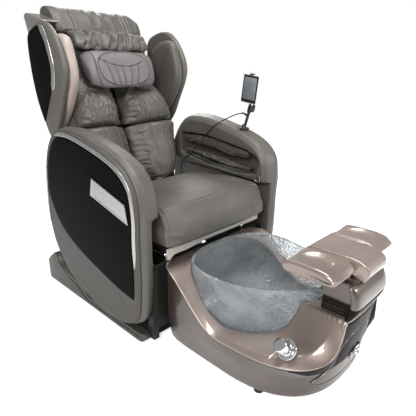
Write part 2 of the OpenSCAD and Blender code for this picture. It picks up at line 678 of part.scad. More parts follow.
// ---- Remote ----
module on_post() laid_out() translate([remote_x, remote_y, post_foot_z]) rotate([post_lean, 0, 0]) children();
module remote_post() color("black") {
    laid_out() translate([remote_x, remote_y, post_foot_z]) cylinder(r = 22, h = 9);
    on_post() {
        translate([0, 0, 4]) cylinder(d = post_d, h = post_length - 4);
    }
    // Gland that the cable comes out of.
    laid_out() translate(cable_points[0]) rotate([post_lean, 0, 0]) bar_y(cable_d, -14, 3);
}
module remote_cradle() color("black") {
    on_post() difference() {
        union() {
            translate([0, 0, post_length - 20]) cylinder(r = post_d / 2 + 4, h = 23);
            block([0, -13, post_length - 18], [18, 13, post_length + 3]);
        }
        translate([0, 0, post_length - 21]) cylinder(r = post_d / 2 + running_fit, h = 21 + running_fit);
    }
    laid_out() {
        for (s = [-1, 1]) translate([tilt_axis[0], tilt_axis[1] + s * 10.5, tilt_axis[2]]) rotate([90, 0, 0])
            linear_extrude(5, center = true) {
                circle(r = 6);
                polygon([[-6, 0], [-6, -32], [6, -32], [6, 0]]);
            }
        translate([tilt_axis[0], 0, tilt_axis[2]]) bar_y(3, tilt_axis[1] - 12, tilt_axis[1] + 12);
    }
}
module on_remote() laid_out() translate(remote_mid) rotate([remote_lean, 0, 0]) children();
module remote_case() color("white") difference() {
    union() {
        on_remote() block([-remote_thick / 2, -remote_width / 2, -remote_height / 2],
            [remote_thick / 2, remote_width / 2, remote_height / 2]);
        laid_out() translate([tilt_axis[0], 0, tilt_axis[2]]) bar_y(6, tilt_axis[1] - 7.6, tilt_axis[1] + 7.6);
        laid_out() block([remote_mid[0] + 4, tilt_axis[1] - 7.6, tilt_axis[2] - 5],
            [tilt_axis[0], tilt_axis[1] + 7.6, tilt_axis[2] + 5]);
    }
    laid_out() translate([tilt_axis[0], 0, tilt_axis[2]]) bar_y(3 + running_fit, tilt_axis[1] - 20, tilt_axis[1] + 20);
}
module remote_screen() color("gray") on_remote() block([-remote_thick / 2 - 1.6, 8 - remote_width / 2, 10 - remote_height / 2],
    [-remote_thick / 2, remote_width / 2 - 8, remote_height / 2 - 7]);
// The cable's route, from the post's gland over the arm and down behind the seat.
cable_points = [
    [335, -198, 768], [335, -186, 772], [328, -156, 768], [312, -118, 750], [292, -76, 726], [277, -48, 702],
    [276, -22, 676], [276, 14, 638], [276, 62, 592], [276, 110, 556], [276, 150, 522], [277, 168, 480],
    [281, 166, 430], [285, 156, 370], [286, 150, 330], [286, 150, 308]
];
function tube_ring(p, along, d, sides) =
    let (t = along / norm(along), across = [1, 0, 0] - t * t[0], side = across / norm(across), up = cross(t, side))
        [for (i = [0:sides - 1]) let (a = 360 * i / sides) p + d / 2 * (cos(a) * side + sin(a) * up)];
module remote_cable() color("black") laid_out() {
    route = open_curve(cable_points, 3);
    last = len(route) - 1;
    echo(cable_length = run_length(route));
    loft([for (i = [0:last]) tube_ring(route[i], route[min(i + 1, last)] - route[max(i - 1, 0)], cable_d, 8)]);
}

// ---- Tub ----
// A point of the tub's outline, at turn t round it, pushed out by "out".
function tub_at(t, out) =
    let (e = 2 / (sin(t) < 0 ? 2.7 : 7), reach = sin(t) < 0 ? tub_front_reach : tub_back_reach)
        [(tub_half + out) * power(cos(t), e), tub_mid + (reach + out) * power(sin(t), e)];
function flare(y) = rim_flare * ease((-y - 660) / 280);
function rim_at(t, out) = tub_at(t, out + flare(tub_at(t, 0)[1]) - (sin(t) < 0 ? corner_draw * pow(sin(2 * t), 2) : 0));
function side_height(y) = blend(deck_low, deck_high, ease((y - tub_mid) / 255));
// Distance to the raised part of the deck, which carries the pedestal.
function from_crest(p) = norm([max(0, abs(p[0]) - pedestal_half), max(0, p[1] - crest_back)]);
// The deck climbs from its rim to the pedestal's foot.
function deck_height(p, rim) =
    let (e = min(60, norm(p - rim) + 28), d = from_crest(p))
        blend(side_height(p[1]), deck_crest, pow(e / (e + d), 1.7));
function rim_height(t) = let (r = rim_at(t, 0)) deck_height(r, r);
// The tub's outer wall: a point at turn t and height z, pushed out by "out".
wall_bend = 104;
function wall_at(t, z, out) = let (low = tub_at(t, out - 8 * (1 - min(1, (z - tub_floor) / (wall_bend - tub_floor)))),
    high = rim_at(t, out - 2), up = max(0, (z - wall_bend) / (wall_top(t) - wall_bend)))
        [blend(low[0], high[0], up), blend(low[1], high[1], up), z];
function bowl_at(t, out) =
    let (e = 2 / (sin(t) < 0 ? 1.9 : 2.5), reach = sin(t) < 0 ? bowl_front_reach : bowl_back_reach)
        [(bowl_width / 2 + out) * power(cos(t), e), bowl_mid + (reach + out) * power(sin(t), e)];
bowl_centre = bowl_mid - (bowl_front_reach - bowl_back_reach) / 2;
function bowl_share(z) = let (h = min(1, max(0, (bowl_rim - z) / (bowl_rim - bowl_bottom))))
    1 + 0.12 * h * (1 - h) - (1 - bowl_foot_share) * pow(h, 9);
function bowl_point(t, z, out) =
    let (p = bowl_at(t, out), s = bowl_share(z)) [p[0] * s, bowl_centre + (p[1] - bowl_centre) * s];
function level(pts, z) = [for (p = pts) [p[0], p[1], z]];
// Turns round the tub and the bowl: a quarter at the back and a quarter at the front, each with its mirror image.
back_turns = [0.1, 0.85, 3.5, 9.6, 21, 37, 56, 78];
front_turns = [1.2, 4.4, 9, 15, 22, 30, 38, 46, 54, 62, 69, 75, 81, 87];
function reversed(list) = [for (k = [len(list) - 1:-1:0]) list[k]];
TURNS = concat(back_turns, [for (t = reversed(back_turns)) 180 - t],
    [for (t = front_turns) 180 + t], [for (t = reversed(front_turns)) 360 - t]);
lip_gap = 1.3;                 // from the wall's top to the underside of the deck's edge
function wall_top(t) = rim_height(t) - tub_wall - lip_gap;
// How much the deck's underside falls across the wall's thickness.
function rim_fall(t) = let (fall = deck_at(t, 0) - deck_at(t, 1 / deck_steps))
    3 * tub_wall * max(0, fall[2]) / norm([fall[0], fall[1]]);
module tub_shell() color("saddlebrown") laid_out() difference() {
    union() {
        // Walls: up the outside, over the rim and down the inside.
        band([
            [for (t = TURNS) wall_at(t, tub_floor, 0)],
            for (v = [0, 0.2, 0.4, 0.6, 0.8, 1]) [for (t = TURNS) wall_at(t, blend(wall_bend, wall_top(t), v), 0)],
            [for (t = TURNS) wall_at(t, wall_top(t) - rim_fall(t), -tub_wall)],
            [for (t = TURNS) wall_at(t, wall_bend, -tub_wall)],
            [for (t = TURNS) wall_at(t, tub_floor, -tub_wall)]
        ]);
        translate([0, 0, tub_floor]) linear_extrude(tub_wall) polygon([for (t = TURNS) tub_at(t, -9)]);
        translate([0, bowl_centre, tub_floor]) cylinder(r = boss_r, h = bowl_bottom - soft_clear - tub_floor);
    }
    translate([0, bowl_centre, tub_floor - 1]) cylinder(r = drain_bore_r, h = bowl_bottom);
    at_sprayer() bar_y(socket_r + soft_clear, -30, 60);
}
deck_steps = 6;
function deck_at(t, k) =
    let (rim = rim_at(t, 0), hole = bowl_point(t, blend(side_height(rim[1]), bowl_rim, 0.3), bowl_gap), p = blend(rim, hole, k))
        [p[0], p[1], min(deck_height(p, rim), bowl_rim - 9)];
module tub_deck() color("rosybrown") laid_out() difference() {
    union() {
        at_mixer() translate([0, 0, -38]) cylinder(d = mixer_plate_d - 8, h = 38 - soft_clear);
        band(concat(
            [[for (t = TURNS) deck_at(t, 0) - [0, 0, tub_wall]]],
            [[for (t = TURNS) deck_at(t, 0) - [0, 0, 2]]],
            [[for (t = TURNS) deck_at(t, 0.015)]],
            [for (k = [1:deck_steps]) [for (t = TURNS) deck_at(t, k / deck_steps)]],
            [for (k = [deck_steps:-1:1]) [for (t = TURNS) deck_at(t, k / deck_steps) - [0, 0, tub_wall]]]
        ));
    }
    at_mixer() translate([0, 0, -60]) cylinder(r = mixer_stem_r + soft_clear, h = 80);
}

// ---- Foot bowl ----
function rim_wave(t) = 5 * sin(5 * t + 20) * (0.5 - 0.5 * sin(t)) + 14 * pow(max(0, -sin(t)), 14);
bowl_levels = [0.03, 0.09, 0.2, 0.4, 0.7, 0.9];
module foot_bowl() color("lightblue") laid_out() difference() {
    band(concat(
        [[for (t = TURNS) [drain_r * cos(t), bowl_centre + drain_r * sin(t), bowl_bottom]]],
        [for (h = bowl_levels) let (z = blend(bowl_bottom, bowl_rim, h - 0.03)) level([for (t = TURNS) bowl_point(t, z, 0)], z)],
        [[for (t = TURNS) concat(bowl_point(t, bowl_rim, 0), [bowl_rim + rim_wave(t)])]],
        [[for (t = TURNS) concat(bowl_point(t, bowl_rim, -bowl_glass), [bowl_rim + rim_wave(t)])]],
        [for (h = [0.9, 0.7, 0.4, 0.2, 0.09, 0.03])
            let (z = blend(bowl_bottom, bowl_rim, h - 0.03), in_z = max(z, bowl_bottom + bowl_glass + 90 * (h - 0.03)))
                level([for (t = TURNS) bowl_point(t, z, -bowl_glass)], in_z)],
        [[for (t = TURNS) [drain_r * cos(t), bowl_centre + drain_r * sin(t), bowl_bottom + bowl_glass]]]
    ));
    translate([0, jet_y, jet_z]) rotate([0, -90, 0]) cylinder(r = jet_r + soft_clear, h = 400);
}
module drain_fitting() color("silver") laid_out() translate([0, bowl_centre, 0]) difference() {
    union() {
        translate([0, 0, bowl_bottom + bowl_glass + soft_clear]) cylinder(r = drain_r + 7, h = 3);
        translate([0, 0, bowl_bottom - 2]) cylinder(r = drain_r - 0.8, h = bowl_glass + 4);
        translate([0, 0, drain_tail_z]) cylinder(d = drain_tail_d, h = bowl_bottom - drain_tail_z);
    }
    translate([0, 0, bowl_bottom]) cylinder(r = drain_plug_d / 2 + 2, h = 60);
    translate([0, 0, drain_tail_z - 1]) cylinder(d = drain_tail_d - 6, h = bowl_bottom - drain_tail_z - 11);
    // Guide of the plug's stem, with water ways round it.
    cylinder(r = plug_stem_r + running_fit, h = 200);
    for (a = [0:60:300]) rotate(a) translate([11, 0, 0]) cylinder(r = 3.4, h = 200);
}
module drain_plug() color("silver") laid_out() translate([0, bowl_centre, 0]) {
    translate([0, 0, bowl_bottom + soft_clear]) cylinder(d = drain_plug_d, h = bowl_glass + 4);
    translate([0, 0, bowl_bottom - 36]) cylinder(r = plug_stem_r, h = 40);
}
module at_jet() laid_out() translate([jet_x, jet_y, jet_z]) children();
module jet_housing() color("silver") at_jet() difference() {
    union() {
        bar_x(jet_r, -44, 10);
        bar_x(jet_r + 5, 10, 13);
    }
    bar_x(jet_r - 4, -24, 20);
    bar_x(3 + running_fit, -40, 0);
}
module jet_impeller() color("gray") at_jet() {
    bar_x(3, -38, -6);
    bar_x(7, -22, -6);
    for (a = [0:60:300]) rotate([a, 0, 0]) block([-20, -1.2, 5], [-8, 1.2, jet_r - 5]);
}

// ---- Pedestal and footrest ----
pedestal_front = pedestal_back - pedestal_length;
module pedestal() color("black") laid_out() difference() {
    intersection() {
        translate([0, 0, pedestal_foot]) linear_extrude(200) difference() {
            polygon(concat([[pedestal_half, pedestal_back], [-pedestal_half, pedestal_back]],
                [for (a = [180:12:360]) [pedestal_half * power(cos(a), 0.4),
                    pedestal_front + 50 + 50 * power(sin(a), 0.9)]]));
            polygon([for (t = TURNS) bowl_at(t, bowl_gap)]);
        }
        side_slab(-pedestal_half, pedestal_half) polygon(concat(
            [[pedestal_back, pedestal_foot], [pedestal_back, pedestal_top]],
            [for (k = [0:8]) let (u = k / 4 - 1)
                [pedestal_front + 20 * u * u, blend(pedestal_top, pedestal_foot, k / 8)]]));
    }
    // Two slots low on each side.
    both_sides() for (z = [8, 18]) block([pedestal_half - 3, pedestal_front + 40, pedestal_foot + z],
        [pedestal_half + 1, pedestal_back - 12, pedestal_foot + z + 5]);
}
// Lower and upper edge of the access door: u is 0 at its middle and 1 at its tips.
function door_low(u) = 60 + 12 * pow(u, 6);
function door_high(u) = door_low(u) + 4 + (8 + 140 / (1 + pow(u / 0.49, 4))) * (1 - pow(u, 14));
door_reach = 31; // turn from the door's middle to a tip
door_turns = concat([270 - door_reach], [for (t = TURNS) if (abs(t - 270) < door_reach) t], [270 + door_reach]);
door_rows = [0, 0.2, 0.4, 0.6, 0.8, 1];
module access_door() color("saddlebrown") laid_out() difference() {
    loft([for (t = door_turns) let (u = abs(t - 270) / door_reach) concat(
        [for (v = door_rows) wall_at(t, blend(door_low(u), door_high(u), 1 - v), 3.2)],
        [for (v = door_rows) wall_at(t, blend(door_low(u), door_high(u), v), 1.2)])]);
    at_sprayer() back_slab(-30, 30) offset(1) sprayer_bezel();
}
module footrest_bracket() color("gray") laid_out() {
    block([-60, pedestal_front + 26, pedestal_top], [60, pedestal_back - 2, pedestal_top + 5]);
    for (s = [-1, 1]) difference() {
        translate([0, foot_pin_y, foot_pin_z]) side_slab(s * 48 - 4, s * 48 + 4) {
            circle(r = 12);
            polygon([[-16, pedestal_top - foot_pin_z], [-12, 0], [12, 0], [16, pedestal_top - foot_pin_z]]);
        }
        translate([0, foot_pin_y, foot_pin_z]) bar_x(footrest_pin_d / 2 + running_fit, -80, 80);
    }
    // Stop that the footrest lies on.
    block([-34, foot_pin_y - 36, pedestal_top], [34, foot_pin_y - 24, foot_low - soft_clear]);
}
foot_half = footrest_width / 2;
foot_front = footrest_back - footrest_depth;
function foot_ring(x) =
    let (a = abs(x), nose = ease((66 - a) / 8), end = pow(max(0, (a - foot_half + 20) / 20), 2.5),
        dip = 10 * exp(-pow((a - 69) / 5, 2)) + (a > 76 ? 9 * sin(180 * min(1, (a - 76) / (foot_half - 92))) : 0),
        top = footrest_top - dip - 10 * end, front = foot_front - 34 * nose + 9 * end, back = footrest_back - 8 * end,
        low = foot_low + 3 * end)
        [[x, front + 26, low - 24 * nose], [x, front + 44, low], [x, back - 16, low], [x, back - 2, low + 12],
            [x, back - 4, top - 14], [x, back - 24, top - 3], [x, (front + back) / 2, top],
            [x, front + 40, top - 2], [x, front + 14, top - 12], [x, front, blend(low, top, 0.45) - 8 * nose]];
module footrest_pads() color("rosybrown") laid_out() {
    loft([for (u = [-1, -0.985, -0.95, -0.9, -0.8, -0.68, -0.56, -0.46, -0.4, -0.36, -0.33, -0.3, -0.2, 0,
        0.2, 0.3, 0.33, 0.36, 0.4, 0.46, 0.56, 0.68, 0.8, 0.9, 0.95, 0.985, 1]) foot_ring(u * foot_half)]);
    translate([0, foot_pin_y, foot_pin_z]) {
        bar_x(footrest_pin_d / 2, -54, 54);
        side_slab(-40, 40) {
            circle(r = 12);
            translate([-12, 0]) square([24, foot_low + 4 - foot_pin_z]);
        }
    }
}

// ---- Fittings ----
mixer_axis = [-0.70, 0.21, 0.68];
mixer_seat = deck_at(mixer_turn, mixer_reach) + mixer_rise * mixer_axis;
module at_mixer() translate(mixer_seat) rotate([0, acos(mixer_axis[2] / norm(mixer_axis)), atan2(mixer_axis[1], mixer_axis[0])])
    children();
module mixer_plate() color("silver") laid_out() at_mixer() difference() {
    union() {
        cylinder(d = mixer_plate_d, h = 5);
        translate([0, 0, -34]) cylinder(r = mixer_stem_r, h = 36);
        cylinder(d = mixer_knob_d - 8, h = 12);
    }
    translate([0, 0, -14]) cylinder(r = spindle_r + running_fit, h = 60);
}
module mixer_lever() color("silver") laid_out() at_mixer() {
    translate([0, 0, -10]) cylinder(r = spindle_r, h = 30);
    translate([0, 0, 12 + soft_clear]) cylinder(d = mixer_knob_d, h = 34);
    translate([0, 0, 34]) rotate([0, 0, lever_turn]) bar_x(3.5, 0, 48);
}
module at_sprayer() translate([sprayer_x, wall_at(270, sprayer_z, 0)[1], sprayer_z]) rotate([sprayer_pitch, 0, 0]) children();
// Outline of the oval bezel round the sprayer.
module sprayer_bezel() rotate(sprayer_tilt) hull() for (x = [-16, 16]) translate([x, 0]) circle(r = socket_r + 1);
module sprayer_socket() color("silver") laid_out() at_sprayer() difference() {
    union() {
        bar_y(socket_r, -2, 60);
        back_slab(-5, -1) sprayer_bezel();
    }
    bar_y(sprayer_bore_d / 2, -10, 50);
}
module sprayer() color("silver") laid_out() at_sprayer() {
    bar_y(sprayer_bore_d / 2 - running_fit, -8, 46);
    translate([0, -8, 0]) rotate([90, 0, 0]) cylinder(d1 = sprayer_bore_d, d2 = sprayer_bore_d - 8, h = 9);
}

base_skid();
base_frame();
feet();
kick_panel();
seat_rails();
slide_actuator();
arm_body(-1);  // right_arm_body
arm_body(1);  // left_arm_body
arm_cover(-1);  // right_arm_cover
arm_cover(1);  // left_arm_cover
arm_panel(-1);  // right_arm_panel
arm_panel(1);  // left_arm_panel
arm_trim(-1);  // right_arm_trim
arm_trim(1);  // left_arm_trim
arm_plates();
arm_bags(-1);  // right_arm_bags
arm_bags(1);  // left_arm_bags
seat_carriage();
slide_rod();
seat_cushion();
seat_flap();
recline_pins();
recline_actuator();
recline_rod();
back_frame();
back_shell();
back_cushion();
lumbar_cushion();
head_hood();
head_pillow();
wing_shell(-1);  // right_wing_shell
wing_shell(1);  // left_wing_shell
wing_panel(-1);  // right_wing_panel
wing_panel(1);  // left_wing_panel
wing_trim(-1);  // right_wing_trim
wing_trim(1);  // left_wing_trim
wing_pad(-1);  // right_wing_pad
wing_pad(1);  // left_wing_pad
massage_rails();
massage_carriage();
remote_post();
remote_cradle();
remote_case();
remote_screen();
remote_cable();
tub_shell();
tub_deck();
foot_bowl();
drain_fitting();
drain_plug();
jet_housing();
jet_impeller();
pedestal();
access_door();
footrest_bracket();
footrest_pads();
mixer_plate();
mixer_lever();
sprayer_socket();
sprayer();
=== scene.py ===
import bpy
import bmesh
import json
import math
import numpy as np
from mathutils import Matrix, Vector
from mathutils.bvhtree import BVHTree


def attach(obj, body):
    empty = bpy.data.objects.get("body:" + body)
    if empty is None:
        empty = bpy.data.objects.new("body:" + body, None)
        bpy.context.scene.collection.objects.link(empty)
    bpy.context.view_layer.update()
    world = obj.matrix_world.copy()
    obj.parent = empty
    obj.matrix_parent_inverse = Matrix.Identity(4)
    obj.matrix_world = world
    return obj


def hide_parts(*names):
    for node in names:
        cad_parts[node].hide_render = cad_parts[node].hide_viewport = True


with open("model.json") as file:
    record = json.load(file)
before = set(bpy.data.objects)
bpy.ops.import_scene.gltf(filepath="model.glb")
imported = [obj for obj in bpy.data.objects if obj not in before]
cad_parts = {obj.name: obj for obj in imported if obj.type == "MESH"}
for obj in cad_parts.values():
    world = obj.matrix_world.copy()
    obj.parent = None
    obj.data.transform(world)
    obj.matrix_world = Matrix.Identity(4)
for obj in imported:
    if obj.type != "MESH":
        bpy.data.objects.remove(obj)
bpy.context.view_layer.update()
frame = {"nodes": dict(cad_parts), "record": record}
NODES = frame["nodes"]

# ---------------------------------------------------------------- sizes, in millimetres, as in the part's source
SHIFT = 243.9            # from the seat datum to the middle of the whole, along Y
HINGE_Y, HINGE_Z = 150, 430
LEAN = math.radians(17)
AHEAD = Vector((0, math.cos(LEAN), -math.sin(LEAN)))     # into the back, square to its face
ARM_FRONT, ARM_LENGTH, ARM_LIFT, ARM_HEIGHT = -366, 649, 57, 698
ARM_FACE = 385
ARM_RIM = 16             # from the arm's outline to the cover's flat face
SEAT_FRONT, PAN = -378, 364
TUB_MID, TUB_FRONT, TUB_BACK, TUB_HALF, TUB_FLOOR = -600, 320, 294, 278, 22
TUB_BEND = 104           # where the wall starts to lean out to the rim
DECK_LOW, DECK_HIGH, TUB_WALL = 138, 298, 7
BOWL_MID, BOWL_BACK, BOWL_W, BOWL_L, BOWL_RIM, BOWL_DEPTH, GLASS = -510, 175, 436, 492, 307, 214, 8
BOWL_BOTTOM = BOWL_RIM - BOWL_DEPTH - GLASS
PED_HALF, PED_BACK, PED_FRONT, PED_TOP, PED_FOOT = 105, -848, -968, 388, 281
FOOT_BACK, FOOT_DEPTH, FOOT_HALF, FOOT_TOP, FOOT_LOW = -766, 168, 192, 456, 418
WING_FACE = 318
CABLE_D = 5
SIDES = ((1, "left"), (-1, "right"))     # the sitter's own


def place(p):
    """Points in millimetres from the seat datum, as metres in the row's frame."""
    p = np.asarray(p, float)
    return (p + np.array([0, SHIFT, 0])) / 1000


def in_back(p):
    """Points in the leaning back's own frame, in millimetres from the hinge, as metres in the row's frame."""
    p = np.asarray(p, float)
    c, s = math.cos(LEAN), math.sin(LEAN)
    q = np.stack([p[..., 0], p[..., 1] * c + p[..., 2] * s + HINGE_Y, -p[..., 1] * s + p[..., 2] * c + HINGE_Z], -1)
    return place(q)


def back_frame_of(co):
    """The other way: metres in the row's frame, as millimetres in the leaning back's own frame."""
    q = co * 1000 - [0, SHIFT + HINGE_Y, HINGE_Z]
    c, s = math.cos(LEAN), math.sin(LEAN)
    return np.stack([q[:, 0], q[:, 1] * c - q[:, 2] * s, q[:, 1] * s + q[:, 2] * c], -1)


# ---------------------------------------------------------------- curves
def ease(t):
    u = np.clip(t, 0, 1)
    return u * u * (3 - 2 * u)


def power(v, e):
    return np.sign(v) * np.abs(v) ** e


def lerp(a, b, t):
    return a + (b - a) * t


def spline(pts, steps, closed=False):
    """A smooth curve through points, with a number of steps between each two."""
    pts = np.asarray(pts, float)
    n = len(pts)
    out = []
    t = (np.arange(steps) / steps)[:, None]
    for i in range(n if closed else n - 1):
        if closed:
            p, q, r, s = pts[i - 1], pts[i], pts[(i + 1) % n], pts[(i + 2) % n]
        else:
            p, q, r, s = pts[max(i - 1, 0)], pts[i], pts[i + 1], pts[min(i + 2, n - 1)]
        out.append(0.5 * (2 * q + (r - p) * t + (2 * p - 5 * q + 4 * r - s) * t**2 + (3 * q - p - 3 * r + s) * t**3))
    out = np.concatenate(out)
    return out if closed else np.vstack([out, pts[-1]])


def even(pts, n, closed=False):
    """The same curve, with n points at equal spacing."""
    pts = np.asarray(pts, float)
    loop = np.vstack([pts, pts[:1]]) if closed else pts
    d = np.r_[0, np.cumsum(np.linalg.norm(np.diff(loop, axis=0), axis=1))]
    at = np.linspace(0, d[-1], n + 1)[:-1] if closed else np.linspace(0, d[-1], n)
    return np.stack([np.interp(at, d, loop[:, k]) for k in range(loop.shape[1])], -1)


def inset(ring, dist):
    """A closed 2D curve, moved inwards. Its points stay in step with those of the curve it comes from."""
    nxt, prv = np.roll(ring, -1, 0), np.roll(ring, 1, 0)
    t = nxt - prv
    t /= np.linalg.norm(t, axis=1)[:, None] + 1e-12
    n = np.stack([t[:, 1], -t[:, 0]], -1)
    x, y = ring[:, 0], ring[:, 1]
    if np.sum(x * np.roll(y, -1) - np.roll(x, -1) * y) > 0:
        n = -n
    return ring + n * dist


def track(x, y, z):
    """Points from their three coordinates, any of which may be one number for all."""
    return np.stack(np.broadcast_arrays(x, y, z), -1)


# ---------------------------------------------------------------- mesh making
def linked(name, data):
    ob = bpy.data.objects.new(name, data)
    bpy.context.scene.collection.objects.link(ob)
    return ob


def sharp(ob, degrees):
    """Keeps the edges that turn by more than this sharp."""
    ob.data.set_sharp_from_angle(angle=math.radians(degrees))
    return ob


def finished(name, bm, mat, smooth=True):
    """Closes a bmesh into an object at the origin, with its faces pointing outwards."""
    bmesh.ops.recalc_face_normals(bm, faces=bm.faces)
    for f in bm.faces:
        f.smooth = smooth
    me = bpy.data.meshes.new(name)
    bm.to_mesh(me)
    bm.free()
    me.materials.append(mat)
    return linked(name, me)


def skin(name, rings, mat, caps=True, closed=True, wrapped=False):
    """A grid laid over rings of points, welded where its edges meet."""
    rings = np.asarray(rings, float)
    if caps:
        ends = [np.repeat(rings[k].mean(0)[None], rings.shape[1], 0)[None] for k in (0, -1)]
        rings = np.concatenate([ends[0], rings, ends[1]])
    if closed:
        rings = np.concatenate([rings, rings[:, :1]], axis=1)
    if wrapped:
        rings = np.concatenate([rings, rings[:1]])
    m, n = rings.shape[:2]
    bm = bmesh.new()
    bmesh.ops.create_grid(bm, x_segments=n - 1, y_segments=m - 1, size=0.5)
    for v, p in zip(bm.verts, rings.reshape(-1, 3)):
        v.co = p
    bmesh.ops.remove_doubles(bm, verts=bm.verts, dist=1e-6)
    return finished(name, bm, mat)


def cad_copy(name, cad, mat, smooth=False):
    bm = bmesh.new()
    bm.from_mesh(NODES[cad].data)
    bmesh.ops.remove_doubles(bm, verts=bm.verts, dist=1e-5)
    bmesh.ops.dissolve_limit(bm, angle_limit=math.radians(1), verts=bm.verts, edges=bm.edges)
    return finished(name, bm, mat, smooth)


def apply_all(ob):
    """Turns what the modifiers make into the object's own mesh."""
    bpy.context.view_layer.update()
    deps = bpy.context.evaluated_depsgraph_get()
    me = bpy.data.meshes.new_from_object(ob.evaluated_get(deps))
    old = ob.data
    ob.modifiers.clear()
    ob.data = me
    bpy.data.meshes.remove(old)
    return ob


def bevelled(bm, edges, offset, segments):
    bmesh.ops.bevel(bm, geom=edges, offset=offset, segments=segments, profile=0.5, affect="EDGES", material=-1)


def eased_edges(name, cad, mat, width=0.0015, segments=2):
    """A hard piece with its edges rounded off."""
    ob = cad_copy(name, cad, mat)
    mod = ob.modifiers.new("edges", "BEVEL")
    mod.width, mod.segments, mod.limit_method, mod.angle_limit = width, segments, "ANGLE", math.radians(28)
    apply_all(ob)
    ob.data.polygons.foreach_set("use_smooth", [True] * len(ob.data.polygons))
    return sharp(ob, 32)


def evened(ob, size, rounds):
    """An even mesh over the solid, with its edges rounded as foam rounds them."""
    mod = ob.modifiers.new("even", "REMESH")
    mod.mode, mod.voxel_size, mod.use_smooth_shade = "VOXEL", size, True
    mod = ob.modifiers.new("round", "SMOOTH")
    mod.factor, mod.iterations = 0.5, rounds
    return apply_all(ob)


def upholstered(name, cad, mat, size, rounds):
    return evened(cad_copy(name, cad, mat, True), size, rounds)


def thin_sheet(name, rows, mat, thick):
    """A sheet of one thickness, through rows of points."""
    ob = skin(name, rows, mat, caps=False, closed=False)
    mod = ob.modifiers.new("thick", "SOLIDIFY")
    mod.thickness, mod.offset = thick, 0
    return apply_all(ob)


def divided(ob):
    mod = ob.modifiers.new("finer", "SUBSURF")
    mod.levels = mod.render_levels = 1
    return apply_all(ob)


def coords(ob, what="co"):
    out = np.empty(len(ob.data.vertices) * 3)
    ob.data.vertices.foreach_get(what, out)
    return out.reshape(-1, 3)


def normals(ob):
    return coords(ob, "normal")


def set_coords(ob, co):
    ob.data.vertices.foreach_set("co", np.asarray(co, float).reshape(-1))
    ob.data.update()


def near_line(co, line):
    """Distance from each point to a polyline."""
    best = np.full(len(co), 1e9)
    box = (co > line.min(0) - 0.03).all(1) & (co < line.max(0) + 0.03).all(1)
    some = co[box]
    near = np.full(len(some), 1e9)
    for a, b in zip(line[:-1], line[1:]):
        ab = b - a
        t = np.clip(((some - a) @ ab) / (ab @ ab + 1e-12), 0, 1)
        near = np.minimum(near, np.linalg.norm(some - a - t[:, None] * ab, axis=1))
    best[box] = near
    return best


def tree_of(ob):
    return BVHTree.FromPolygons([v.co.copy() for v in ob.data.vertices], [tuple(p.vertices) for p in ob.data.polygons])


THROW = 0.4              # metres, from which laid_on throws a point


def laid_on(ob, line, towards):
    """A line thrown on to an object along a direction: the points where it lands, and the normals there."""
    tree = tree_of(ob)
    way = Vector(towards).normalized()
    where, out = [], []
    for p in line:
        loc, nor, _, _ = tree.ray_cast(Vector(p) - way * THROW, way)
        if loc is None:
            loc, nor, _, _ = tree.find_nearest(Vector(p))
        where.append(loc)
        out.append(nor)
    return np.array(where), np.array(out)


def nearest_on(ob, line):
    """The points of an object nearest to a line's points, and the normals there."""
    tree = tree_of(ob)
    hit = [tree.find_nearest(Vector(p)) for p in line]
    return np.array([h[0] for h in hit]), np.array([h[1] for h in hit])


def draw_in(ob, lines, depth, width, ridge=0.0):
    """Draws the surface in along lines, as a seam or a crease does, with a soft ridge beside it."""
    co, no = coords(ob), normals(ob)
    move = np.zeros(len(co))
    for line in lines:
        d = near_line(co, line)
        move -= depth * np.exp(-(d / width) ** 2)
        if ridge:
            move += ridge * np.exp(-((d - 2.2 * width) / width) ** 2)
    move = np.clip(move, -2.2 * depth, 2.2 * max(ridge, 1e-9))
    set_coords(ob, co + no * move[:, None])
    return ob


def stitched(name, line, out, mat, pitch, long, thick):
    """Thread along a line: one short bead to a stitch."""
    n = max(2, int(np.sum(np.linalg.norm(np.diff(line, axis=0), axis=1)) / pitch))
    pts, ups = even(line, n), even(out, n)
    along = np.gradient(pts, axis=0)
    bm = bmesh.new()
    for p, u, t in zip(pts, ups, along):
        t, u = Vector(t).normalized(), Vector(u).normalized()
        side = t.cross(u).normalized()
        made = bmesh.ops.create_cube(bm, size=1.0)["verts"]
        turn = Matrix((t * long, side * thick, u * thick)).transposed().to_4x4()
        bmesh.ops.transform(bm, verts=made, matrix=Matrix.Translation(Vector(p) + u * thick * 0.2) @ turn)
    return finished(name, bm, mat)


def joined(name, obs):
    """One piece from several made with the same finish."""
    bm = bmesh.new()
    for ob in obs:
        bm.from_mesh(ob.data)
    mat = obs[0].data.materials[0]
    me = bpy.data.meshes.new(name)
    bm.to_mesh(me)
    bm.free()
    me.materials.append(mat)
    for ob in obs:
        bpy.data.objects.remove(ob)
    return linked(name, me)


def sewn(name, laid, mat, body, slot, pitch=0.008, long=0.0045, thick=0.0009):
    """The threads of several seams, as one piece."""
    runs = [stitched(f"{name}_{k}", line, up, mat, pitch, long, thick) for k, (line, up) in enumerate(laid)]
    piece(joined(name, runs), body, slot)


def waves(p, scale, seed=0.0):
    """Slow uneven swelling from a few crossed waves, between about -1 and 1."""
    x, y, z = (p * scale).T
    s = seed
    v = (np.sin(1.7 * x + 2.3 * np.sin(0.9 * y + s) + s) + np.sin(1.9 * y + 1.9 * np.sin(1.1 * z + 2 * s) + 1.3 * s)
         + np.sin(2.1 * z + 2.1 * np.sin(1.3 * x + 3 * s) + 0.7 * s) + np.sin(1.3 * (x + y - z) + 4 * s))
    return v / 4


def ripple(ob, *terms):
    """Slow swelling along the normals: each term is (height in metres, scale, seed)."""
    co, no = coords(ob), normals(ob)
    set_coords(ob, co + no * sum(high * waves(co, scale, seed) for high, scale, seed in terms)[:, None])


CLOTH_FRAMES = 20


